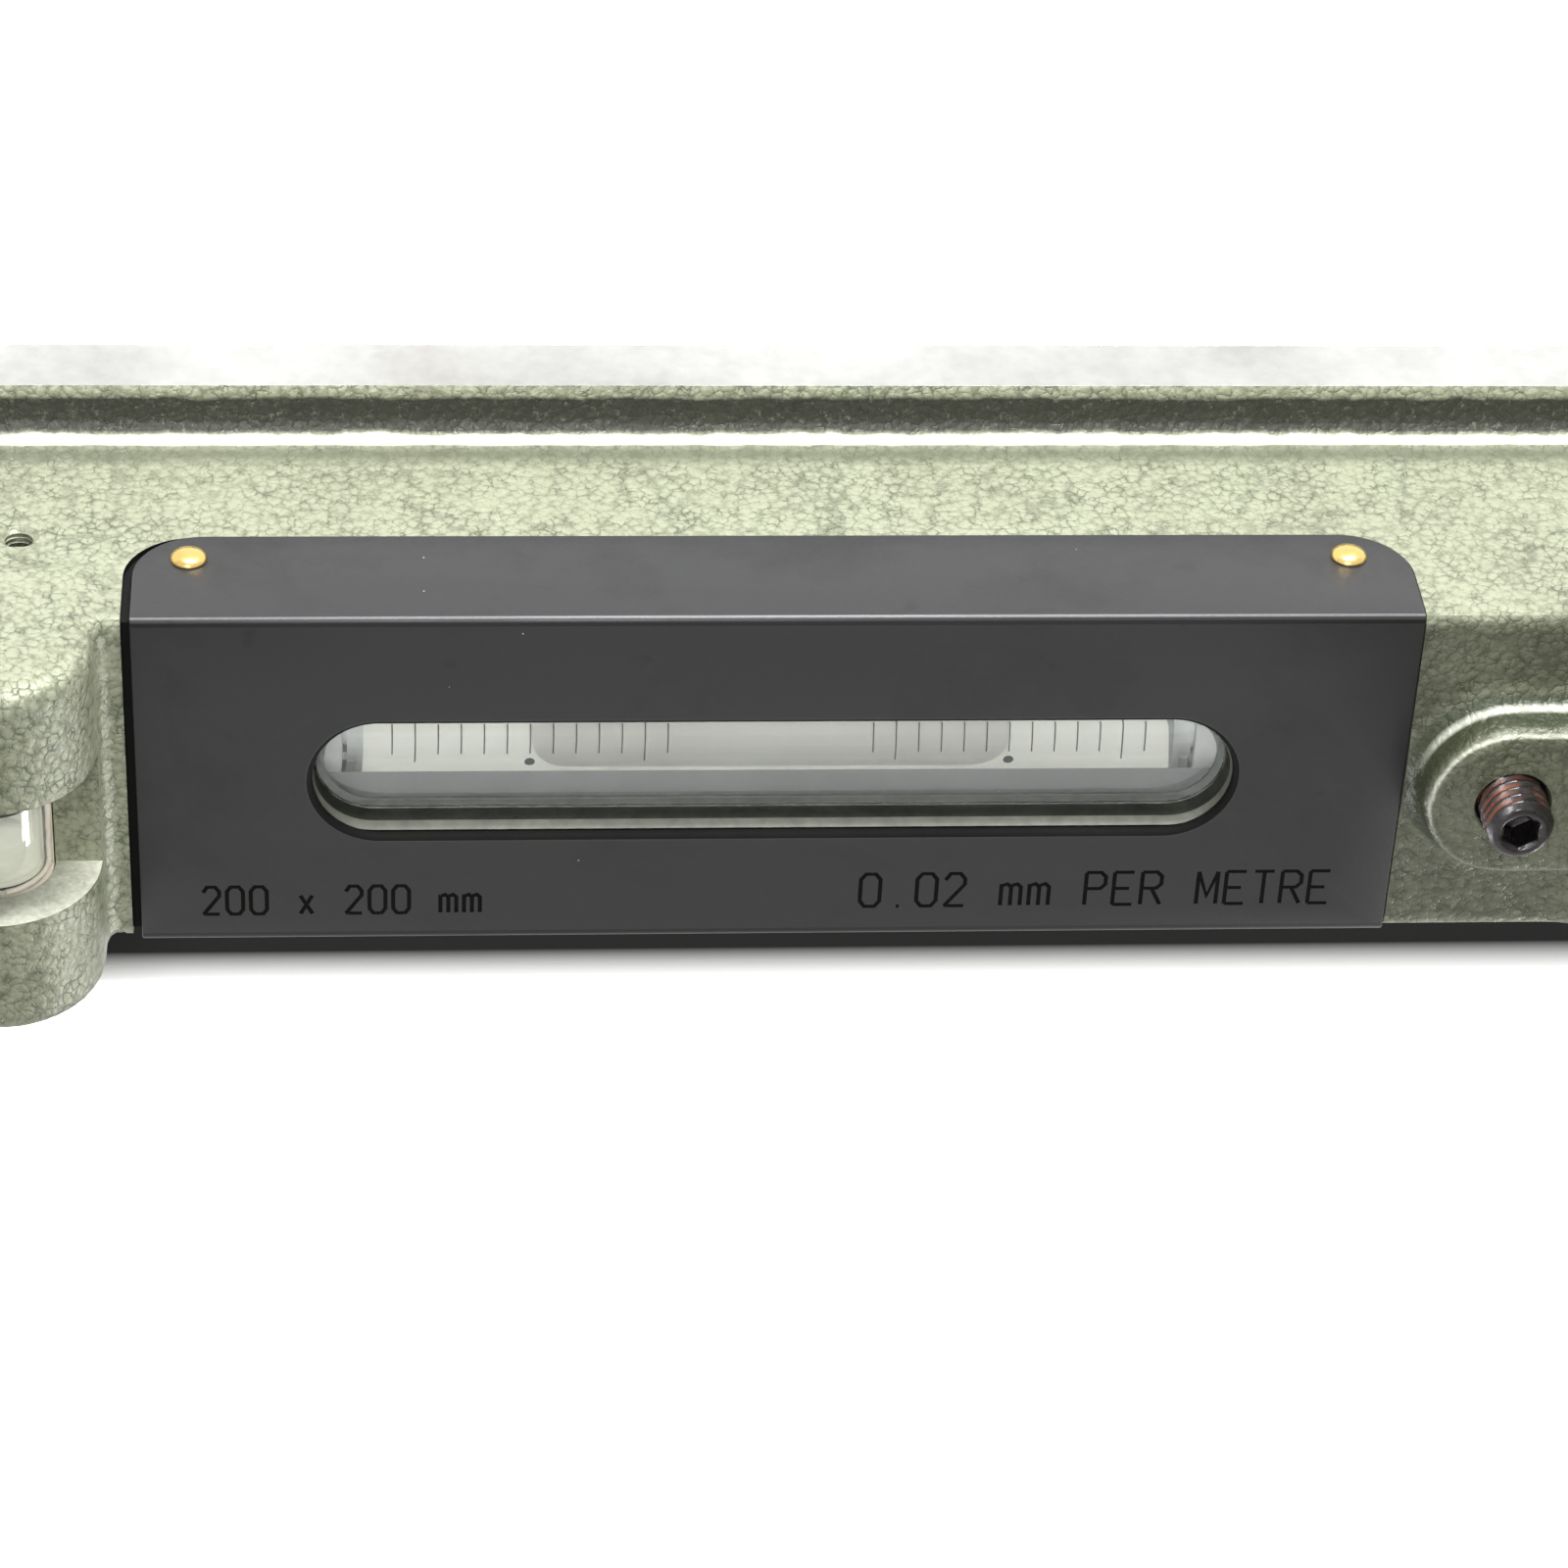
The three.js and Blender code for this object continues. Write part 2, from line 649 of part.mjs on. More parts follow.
// Glass pane on a ring of putty, on the shoulder that the bore leaves round the slot
function addPane(group) {
  const paneShape = stadium(slotLength - 2 * fitGap, slotWidth - 2 * fitGap);
  addPiece(group, "window_glass", solidOf(slabUpright(paneShape, [paneUnderside, paneTop])), "glass");
  const sealShape = stadium(slotLength - 2 * fitGap, slotWidth - 2 * fitGap);
  const sealHole = stadium(
    slotLength - 2 * fitGap - 2 * sealWidth,
    slotWidth - 2 * fitGap - 2 * sealWidth,
  );
  sealShape.holes.push(new THREE.Path(sealHole.getPoints(arcSteps)));
  addPiece(group, "window_seal", solidOf(slabUpright(sealShape, [sealUnderside, sealTop])), "putty");
}

// Main vial: glass, liquid and bubble, bedded in a tube that tilts between the pivot and the screw
function addMainVial() {
  const vial = new THREE.Group();
  vial.position.z = vialAxisHeight;
  level.add(vial);
  const glass = turned([
    [0, -vialHalfLength],
    [vialRadius - vialEndChamfer, -vialHalfLength],
    [vialRadius, -vialHalfLength + vialEndChamfer],
    [vialRadius, vialHalfLength],
    [vialChamberRadius, vialHalfLength],
    [vialChamberRadius, -vialChamberHalfLength],
    [0, -vialChamberHalfLength],
  ], largeSides).rotateY(Math.PI / 2);
  addPiece(vial, "main_vial_glass", solidOf(glass), "glass");

  const stopperEnds = [vialChamberHalfLength + fitGap, vialHalfLength];
  const stopper = rodAlongX(vialChamberRadius - stopperClearance, stopperEnds, 0, 0);
  addPiece(vial, "main_vial_stopper", solidOf(stopper), "glass");

  const liquidRadius = vialChamberRadius - fitGap;
  const liquidEnds = [-vialChamberHalfLength + fitGap, vialChamberHalfLength - fitGap];
  const liquid = cut(solidOf(rodAlongX(liquidRadius, liquidEnds, 0, 0)), [
    block(
      [liquidEnds[0] - overrun, liquidEnds[1] + overrun],
      [-liquidRadius - overrun, liquidRadius + overrun],
      [liquidLevel, liquidRadius + overrun],
    ),
  ]);
  addPiece(vial, "main_vial_liquid", liquid, "liquid");
  const bubbleShape = stadium(bubbleLength, 2 * bubbleHalfWidth);
  const bubbleLow = liquidLevel + fitGap;
  const bubble = solidOf(slabUpright(bubbleShape, [bubbleLow, vialChamberRadius]))
    .intersect(solidOf(rodAlongX(liquidRadius - fitGap, liquidEnds, 0, 0)));
  addPiece(vial, "main_bubble", bubble, "bubble");

  const bedStart = vialHalfLength + fitGap;
  const bed = solidOf(rodAlongX(spigotRadius, [-vialBedLength / 2, vialBedLength / 2], 0, 0, middleSides));
  for (const [side, name] of [[-1, "left"], [1, "right"]]) {
    addPiece(vial, `main_vial_bed_${name}`, bed, "cement", [side * (bedStart + vialBedLength / 2), 0, 0]);
  }
  addHolder(vial);
}

function addHolder(vial) {
  const tubeEnds = [-holderHalfLength, holderHalfLength];
  const tube = cut(solidOf(rodAlongX(holderRadius, tubeEnds, 0, 0)), [
    rodAlongX(holderInnerRadius, [tubeEnds[0] - overrun, tubeEnds[1] + overrun], 0, 0),
    block(
      [-holderWindowHalfLength, holderWindowHalfLength],
      [-holderRadius - overrun, holderRadius + overrun],
      [holderWindowRise, holderRadius + overrun],
    ),
  ]);
  addPiece(vial, "vial_holder_tube", tube, "holder");

  const lugEnd = padX - adjustLugReach;
  const adjustLug = cut(
    join([
      rodAlongX(holderRadius, [lugEnd, -lugStart], 0, 0),
      rodAlongX(spigotRadius, [-lugStart - overrun, -holderHalfLength + lugSpigotLength], 0, 0),
    ]),
    [
      block(
        [lugEnd - overrun, overrun - lugStart],
        [-holderRadius - overrun, holderRadius + overrun],
        [adjustSeatRise, holderRadius + overrun],
      ),
    ],
  );
  addPiece(vial, "adjusting_lug", adjustLug, "holder");

  const dimples = both((side) => {
    const cone = turned([
      [0, 0],
      [pivotDimpleDepth + overrun, pivotDimpleDepth + overrun],
      [0, pivotDimpleDepth + overrun],
    ], smallSides);
    return cone
      .rotateX((-side * Math.PI) / 2)
      .translate(pivotX, side * (pivotStubRadius - pivotDimpleDepth), pivotHeight - vialAxisHeight);
  });
  const pivotLug = cut(
    join([
      rodAlongX(holderRadius, [lugStart, flangeEnd], 0, 0),
      rodAlongX(spigotRadius, [holderHalfLength - lugSpigotLength, lugStart + overrun], 0, 0),
      rodAlongX(pivotStubRadius, [lugStart, pivotStubEnd], 0, 0),
    ]),
    dimples,
  );
  addPiece(vial, "pivot_lug", pivotLug, "holder");
}

// Screws and spring that carry the holder
function addAdjustment() {
  const across = adjustSocketAcrossFlats / Math.sqrt(3);
  const reach = adjustScrewLength;
  const chamfer = adjustScrewChamfer;
  const screwBody = turned([
    [0, -reach],
    [adjustScrewRadius - chamfer, -reach],
    [adjustScrewRadius, -reach + chamfer],
    [adjustScrewRadius, -chamfer],
    [adjustScrewRadius - chamfer, 0],
    [0, 0],
  ]);
  const socket = rodAlongZ(across, 0, 0, [-adjustSocketDepth, overrun], 6);
  const screw = cut(solidOf(screwBody), [socket]);
  addPiece(level, "adjusting_screw", screw, "blackSteel", [padX, 0, adjustScrewTop]);

  const spring = cut(
    solidOf(rodAlongZ(springRadius, 0, 0, [0, springHeight], smallSides)),
    [rodAlongZ(springBoreRadius, 0, 0, [-overrun, springHeight + overrun], smallSides)],
  );
  addPiece(level, "lift_spring", spring, "brightSteel", [padX, 0, springFoot]);

  const point = pivotStubRadius - pivotDimpleDepth + pivotPointGap;
  const pivotBody = turned([
    [0, 0],
    [pivotScrewRadius, pivotScrewRadius],
    [pivotScrewRadius, pivotScrewLength],
    [0, pivotScrewLength],
  ], smallSides);
  const pivotSocket = rodAlongZ(
    pivotSocketRadius, 0, 0, [pivotScrewLength - pivotSocketDepth, pivotScrewLength + overrun], 6,
  );
  const pivotScrew = cut(solidOf(pivotBody), [pivotSocket]);
  for (const [side, name] of [[-1, "front"], [1, "back"]]) {
    const place = [pivotX, side * point, pivotHeight];
    const mesh = addPiece(level, `pivot_screw_${name}`, pivotScrew, "blackSteel", place);
    mesh.rotation.x = (-side * Math.PI) / 2;
  }
}

// Cross vial: a short vial cemented in the boss, seen through the notch
function addCrossVial() {
  const cross = new THREE.Group();
  cross.position.set(bossX, 0, bossAxisHeight);
  level.add(cross);
  const front = crossVialFront;
  const back = crossVialBack;
  const glass = turned([
    [0, 0],
    [crossVialRadius, 0],
    [crossVialRadius, crossVialLength],
    [crossChamberRadius, crossVialLength],
    [crossChamberRadius, crossEndWall],
    [0, crossEndWall],
  ]).rotateX(-Math.PI / 2).translate(0, front, 0);
  addPiece(cross, "cross_vial_glass", solidOf(glass), "glass");

  const liquidRadius = crossChamberRadius - fitGap;
  const liquidEnds = [crossChamberEnds[0] + fitGap, crossChamberEnds[1] - fitGap];
  const liquid = cut(solidOf(rodAlongY(liquidRadius, 0, liquidEnds, 0)), [
    block(
      [-liquidRadius - overrun, liquidRadius + overrun],
      [liquidEnds[0] - overrun, liquidEnds[1] + overrun],
      [crossLiquidLevel, liquidRadius + overrun],
    ),
  ]);
  addPiece(cross, "cross_vial_liquid", liquid, "liquid");
  const bubbleShape = stadium(crossBubbleLength, 2 * crossBubbleHalfWidth);
  const bubbleLow = crossLiquidLevel + fitGap;
  const bubbleSlab = slabUpright(bubbleShape, [bubbleLow, crossChamberRadius]).rotateZ(Math.PI / 2);
  const bubble = solidOf(bubbleSlab.translate(0, crossBubbleY, 0))
    .intersect(solidOf(rodAlongY(liquidRadius - fitGap, 0, liquidEnds, 0)));
  addPiece(cross, "cross_bubble", bubble, "bubble");
  const stopperEnds = [back - crossStopperLength, back];
  const stopper = rodAlongY(crossChamberRadius - fitGap, 0, stopperEnds, 0);
  addPiece(cross, "cross_vial_stopper", solidOf(stopper), "glass");

  const cement = cut(solidOf(rodAlongY(crossCementOuter, 0, [front, back], 0)), [
    rodAlongY(crossCementInner, 0, [front - overrun, back + overrun], 0),
    block(
      [-crossCementOuter - overrun, crossCementOuter + overrun],
      [notchFront - fitGap, notchBack + fitGap],
      [-notchFloorDrop, crossCementOuter + overrun],
    ),
  ]);
  addPiece(cross, "cross_vial_cement", cement, "cement");
  const plugEnds = [webHalf + bossEndHeight - crossPlugThickness, webHalf + bossEndHeight - seatGap];
  addPiece(cross, "cross_bore_plug", solidOf(rodAlongY(crossCementOuter, 0, plugEnds, 0)), "paint");
}

// Four grip plates, each held by two slotted screws
function addGrips() {
  const grips = new THREE.Group();
  level.add(grips);
  const half = gripWidth / 2;
  const plateShape = roundedRectangle([-half, half], [-gripLength / 2, gripLength / 2], gripCornerRadius);
  const headTop = gripThickness - gripHeadInset;
  const cuts = both((side) => {
    const height = side * gripScrewReach;
    return [
      rodAlongZ(gripShankRadius + fitGap, 0, height, [-overrun, gripThickness + overrun], smallSides),
      rodAlongZ(
        gripHeadRadius + fitGap, 0, height,
        [headTop - gripHeadHeight - fitGap, gripThickness + overrun], middleSides,
      ),
    ];
  }).flat();
  const plateGeometry = extrusion(plateShape, 2 * gripThickness, gripEdgeRadius);
  plateGeometry.translate(0, 0, -gripThickness);
  const outer = solidOf(plateGeometry);
  const plate = cut(outer, [
    block([-gripWidth, gripWidth], [-gripLength, gripLength], [-gripThickness - overrun, 0]),
    ...cuts,
  ]);
  const screwBody = turned([
    [0, -gripScrewLength],
    [gripShankRadius, -gripScrewLength + gripShankChamfer],
    [gripShankRadius, -gripHeadHeight],
    [gripHeadRadius, -gripHeadHeight],
    [gripHeadRadius, -gripHeadChamfer],
    [gripHeadRadius - gripHeadChamfer, 0],
    [0, 0],
  ], smallSides);
  const slot = block(
    [-gripHeadRadius - overrun, gripHeadRadius + overrun],
    [-gripSlotWidth / 2, gripSlotWidth / 2],
    [-gripSlotDepth, overrun],
  );
  const screw = cut(solidOf(screwBody), [slot]);
  const sides = [[-1, "left"], [1, "right"]];
  const faces = [[-1, "front"], [1, "back"]];
  const heights = [[-1, "lower"], [1, "upper"]];
  for (const [sideX, columnName] of sides) {
    for (const [sideY, faceName] of faces) {
      const name = `${faceName}_${columnName}`;
      const place = [sideX * gripX, sideY * gripFoot, gripHeight];
      const grip = addPiece(grips, `grip_${name}`, plate, "phenolic", place);
      grip.rotation.x = (-sideY * Math.PI) / 2;
      for (const [sideZ, heightName] of heights) {
        const screwPlace = [
          sideX * gripX,
          sideY * (gripFoot + headTop),
          gripHeight + sideZ * gripScrewReach,
        ];
        const mesh = addPiece(grips, `grip_screw_${name}_${heightName}`, screw, "brightSteel", screwPlace);
        mesh.rotation.x = (-sideY * Math.PI) / 2;
      }
    }
  }
}

addFrame();
addCover();
addMainVial();
addAdjustment();
addCrossVial();
addGrips();

export default level;
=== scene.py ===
"""Precision square level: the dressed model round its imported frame.

The lower bar holds a long graduated vial under a folded black cover, with a short cross vial in a
boss at one end and the adjusting screw on a pad at the other. Shapes are written in millimetres in
the level's own frame, and skin() turns them into metres.
"""
import logging
import math
from dataclasses import dataclass, field
from enum import Enum
from functools import cache
from typing import Callable, Sequence

import bmesh
import bpy
from mathutils import Matrix, Vector, noise


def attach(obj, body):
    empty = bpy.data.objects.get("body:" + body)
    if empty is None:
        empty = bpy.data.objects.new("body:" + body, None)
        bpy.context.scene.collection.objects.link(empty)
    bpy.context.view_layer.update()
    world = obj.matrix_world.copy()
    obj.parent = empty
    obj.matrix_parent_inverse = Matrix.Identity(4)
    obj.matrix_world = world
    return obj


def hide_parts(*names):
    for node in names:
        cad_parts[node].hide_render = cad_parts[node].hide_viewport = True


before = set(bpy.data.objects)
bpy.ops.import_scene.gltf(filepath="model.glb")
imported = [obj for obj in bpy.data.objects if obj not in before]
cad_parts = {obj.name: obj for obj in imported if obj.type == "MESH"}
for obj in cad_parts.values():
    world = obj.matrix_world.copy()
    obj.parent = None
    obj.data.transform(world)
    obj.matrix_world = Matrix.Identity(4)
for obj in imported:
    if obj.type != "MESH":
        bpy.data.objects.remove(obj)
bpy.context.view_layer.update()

MM = 0.001
Pair = tuple[float, float]
Triple = tuple[float, float, float]
Point = Colour = Triple
Outline = list[Pair]
Piece = bpy.types.Object
Material = bpy.types.Material

log = logging.getLogger("square_level")


# --------------------------------------------------------------------------- shapes


class Axis(Enum):
    """The axis that a round or drawn-out piece lies along."""

    X = "x"
    Y = "y"
    Z = "z"

    def lay(self, u: float, v: float, w: float) -> Point:
        """Returns the point u and v across this axis and w along it."""
        return {Axis.X: (w, u, v), Axis.Y: (u, w, v), Axis.Z: (u, v, w)}[self]


class Cut(Enum):
    """What a tool solid does to a body."""

    TAKE = "DIFFERENCE"
    KEEP = "INTERSECT"
    JOIN = "UNION"


def arc(centre: Sequence[float], radius: float, start: float, end: float, steps: int) -> Outline:
    """Points on an arc.

    Args:
        centre: Middle of the arc.
        radius: Its radius.
        start: First angle in degrees.
        end: Last angle in degrees.
        steps: Number of chords.

    Returns:
        The points, both ends included.
    """
    points = []
    for step in range(steps + 1):
        turn = math.radians(start + (end - start) * step / steps)
        points.append((centre[0] + radius * math.cos(turn), centre[1] + radius * math.sin(turn)))
    return points


def circle(radius: float, sides: int = 64, centre: Sequence[float] = (0.0, 0.0)) -> Outline:
    """Returns the corners of a many-sided circle."""
    return arc(centre, radius, 0, 360, sides)[:-1]


def rounded(x: Sequence[float], y: Sequence[float], radius: float, steps: int = 8) -> Outline:
    """A rectangle with round corners.

    Args:
        x: Its left and right sides.
        y: Its lower and upper sides.
        radius: Radius of the corners.
        steps: Chords in each corner.

    Returns:
        The outline.
    """
    radius = max(radius, 1e-4)
    corners = [(x[1], y[0], -90), (x[1], y[1], 0), (x[0], y[1], 90), (x[0], y[0], 180)]
    outline = []
    for corner_x, corner_y, start in corners:
        centre = (
            corner_x - radius if corner_x == x[1] else corner_x + radius,
            corner_y - radius if corner_y == y[1] else corner_y + radius,
        )
        outline += arc(centre, radius, start, start + 90, steps)
    return outline


def stadium(length: float, width: float, grow: float = 0.0) -> Outline:
    """A slot outline with round ends about the origin.

    Args:
        length: Its length over the ends.
        width: Its width.
        grow: How far it is let out all round.

    Returns:
        The outline.
    """
    radius = (width + 2 * grow) / 2
    reach = (length + 2 * grow) / 2 - radius
    return arc((reach, 0), radius, -90, 90, 24) + arc((-reach, 0), radius, 90, 270, 24)


def stack(outline: Outline, axis: Axis, heights: Sequence[float]) -> list[list[Point]]:
    """Returns one ring of the outline at each height along the axis."""
    return [[axis.lay(u, v, w) for u, v in outline] for w in heights]


def skin(name: str, rings: Sequence[Sequence[Point]], closed: bool = False) -> Piece:
    """A closed mesh through rings of points.

    Args:
        name: The piece's name.
        rings: Rings with equal numbers of points, in millimetres.
        closed: True joins the last ring to the first, and False caps both ends.

    Returns:
        The new object, in metres, linked to the scene.
    """
    count = len(rings[0])
    points = [[value * MM for value in point] for ring in rings for point in ring]
    faces = []
    for first in range(len(rings) if closed else len(rings) - 1):
        low, high = first * count, (first + 1) % len(rings) * count
        for side in range(count):
            after = (side + 1) % count
            faces.append((low + side, low + after, high + after, high + side))
    if not closed:
        faces.append(tuple(reversed(range(count))))
        faces.append(tuple(range((len(rings) - 1) * count, len(rings) * count)))
    mesh = bpy.data.meshes.new(name)
    mesh.from_pydata(points, [], faces)
    tidy = bmesh.new()
    tidy.from_mesh(mesh)
    bmesh.ops.remove_doubles(tidy, verts=tidy.verts, dist=1e-7)
    bmesh.ops.dissolve_degenerate(tidy, edges=tidy.edges, dist=1e-7)
    bmesh.ops.recalc_face_normals(tidy, faces=tidy.faces)
    tidy.to_mesh(mesh)
    tidy.free()
    piece = bpy.data.objects.new(name, mesh)
    bpy.context.scene.collection.objects.link(piece)
    return piece


def prism(name: str, outline: Outline, axis: Axis, low: float, high: float) -> Piece:
    """Returns the outline drawn out between two heights along the axis."""
    return skin(name, stack(outline, axis, [low, high]))


def loft(
    name: str,
    outline: Callable[[float], Outline],
    axis: Axis,
    levels: Sequence[Sequence[float]],
    closed: bool = False,
) -> Piece:
    """A body through outlines of changing size.

    Args:
        name: The piece's name.
        outline: Gives the outline for a size.
        axis: The axis it stands along.
        levels: Pairs of size and height.
        closed: True joins the last outline to the first.

    Returns:
        The new object.
    """
    rings = []
    for size, height in levels:
        rings += stack(outline(size), axis, [height])
    return skin(name, rings, closed)


def turned(
    name: str,
    profile: Sequence[Sequence[float]],
    axis: Axis,
    centre: Sequence[float] = (0.0, 0.0),
    sides: int = 64,
    closed: bool = False,
) -> Piece:
    """A turned piece.

    Args:
        name: The piece's name.
        profile: Pairs of radius and place along the axis.
        axis: The axis it is turned about.
        centre: Where the axis passes, across it.
        sides: Sides round it.
        closed: True for a ring whose profile closes on itself.

    Returns:
        The new object.
    """
    return loft(name, lambda radius: circle(max(radius, 1e-6), sides, centre), axis, profile, closed)


def soft_prism(
    name: str,
    inset: Callable[[float], Outline],
    axis: Axis,
    low: float,
    high: float,
    radius: float,
    steps: int = 4,
) -> Piece:
    """A prism with round edges at both ends.

    Args:
        name: The piece's name.
        inset: Gives the outline drawn in by a distance.
        axis: The axis it stands along.
        low: Lower end.
        high: Upper end.
        radius: Radius of its edges.
        steps: Chords in each edge.

    Returns:
        The new object.
    """
    levels = []
    for end, hand, order in ((low, 1, range(steps + 1)), (high, -1, range(steps, -1, -1))):
        for step in order:
            turn = math.pi / 2 * step / steps
            levels.append((radius * (1 - math.sin(turn)), end + hand * radius * (1 - math.cos(turn))))
    return loft(name, inset, axis, levels)


def sweep(
    name: str,
    path: Sequence[Point],
    radius: Callable[[float], float],
    sides: int = 12,
    closed: bool = False,
) -> Piece:
    """A round bar along a path.

    Args:
        name: The piece's name.
        path: Points that its middle follows.
        radius: Radius at each share of the path.
        sides: Sides round it.
        closed: True joins its end to its start.

    Returns:
        The new object.
    """
    points = [Vector(point) for point in path]
    count = len(points)
    side = None
    rings = []
    for index, point in enumerate(points):
        before = points[index - 1] if index or closed else point
        after = points[(index + 1) % count] if index < count - 1 or closed else point
        into, out = (point - before).normalized(), (after - point).normalized()
        along = (into + out).normalized()
        if side is None:
            side = along.orthogonal().normalized()
            if abs(along.z) < 0.9:
                side = along.cross(Vector((0, 0, 1))).normalized()
        side = (side - along * side.dot(along)).normalized()
        up = along.cross(side)
        stretch = 1.0
        if into.length and out.length:
            stretch = 1 / max(math.cos(into.angle(out) / 2), 0.5)
        size = radius(index / max(count - 1, 1))
        ring = []
        for u, v in circle(size, sides):
            wide = stretch if abs(along.z) < 0.5 else 1.0
            ring.append(tuple(point + side * u * wide + up * v))
        rings.append(ring)
    return skin(name, rings, closed)


def modify(piece: Piece, kind: str, **settings: object) -> None:
    """Makes a modifier's effect part of a piece's mesh.

    Args:
        piece: The piece that changes.
        kind: The modifier's type.
        **settings: The modifier's own settings.
    """
    modifier = piece.modifiers.new("change", kind)
    for name, value in settings.items():
        setattr(modifier, name, value)
    bpy.context.view_layer.update()
    graph = bpy.context.evaluated_depsgraph_get()
    mesh = bpy.data.meshes.new_from_object(piece.evaluated_get(graph), depsgraph=graph)
    old = piece.data
    piece.modifiers.clear()
    piece.data = mesh
    bpy.data.meshes.remove(old)


def carve(body: Piece, tool: Piece, cut: Cut = Cut.TAKE) -> None:
    """Cuts or joins a body with a tool, which is used up.

    Args:
        body: The solid that stays.
        tool: The solid that is taken away, kept or joined.
        cut: Which of these it does.
    """
    modify(body, "BOOLEAN", operation=cut.value, solver="MANIFOLD", object=tool)
    bpy.data.objects.remove(tool)


def round_edges(piece: Piece, width: float) -> None:
    """Rounds the piece's sharp edges by a width in millimetres."""
    limit = math.radians(38)
    modify(piece, "BEVEL", width=width * MM, segments=2, limit_method="ANGLE", angle_limit=limit)


def merge(pieces: Sequence[Piece]) -> Piece:
    """Puts the meshes of several pieces into the first one.

    Args:
        pieces: The pieces. All but the first are used up.

    Returns:
        The first piece.
    """
    joined = bmesh.new()
    for piece in pieces:
        joined.from_mesh(piece.data)
    joined.to_mesh(pieces[0].data)
    joined.free()
    for piece in pieces[1:]:
        bpy.data.objects.remove(piece)
    return pieces[0]


def mirrored(profile: Outline, hand: int) -> Outline:
    """Returns a profile as it is for 1, and with its heights the other way round for -1."""
    return [(size, hand * along) for size, along in profile]


def smooth(piece: Piece, angle: float) -> None:
    """Shades the piece smooth, with edges sharper than the angle in degrees left crisp."""
    piece.data.shade_smooth()
    piece.data.set_sharp_from_angle(angle=math.radians(angle))


# ------------------------------------------------------------------------- finishes


class Term:
    """A value in a node tree, which is added, scaled and compared like a plain number."""

    def __init__(self, shade: "Shade", socket: bpy.types.NodeSocket) -> None:
        """Keeps the tree's builder and the socket that the value comes from."""
        self.shade, self.socket = shade, socket

    def __add__(self, other: object) -> "Term":
        """Returns the sum."""
        return self.shade.math("ADD", self, other)

    def __sub__(self, other: object) -> "Term":
        """Returns the difference."""
        return self.shade.math("SUBTRACT", self, other)

    def __rsub__(self, other: float) -> "Term":
        """Returns the difference from a plain number."""
        return self.shade.math("SUBTRACT", other, self)

    def __mul__(self, other: object) -> "Term":
        """Returns the product."""
        return self.shade.math("MULTIPLY", self, other)

    def __abs__(self) -> "Term":
        """Returns the value without its sign."""
        return self.shade.math("ABSOLUTE", self)

    def __gt__(self, other: float) -> "Term":
        """Returns 1 where the value is greater, else 0."""
        return self.shade.math("GREATER_THAN", self, other)

    def __lt__(self, other: float) -> "Term":
        """Returns 1 where the value is less, else 0."""
        return self.shade.math("LESS_THAN", self, other)


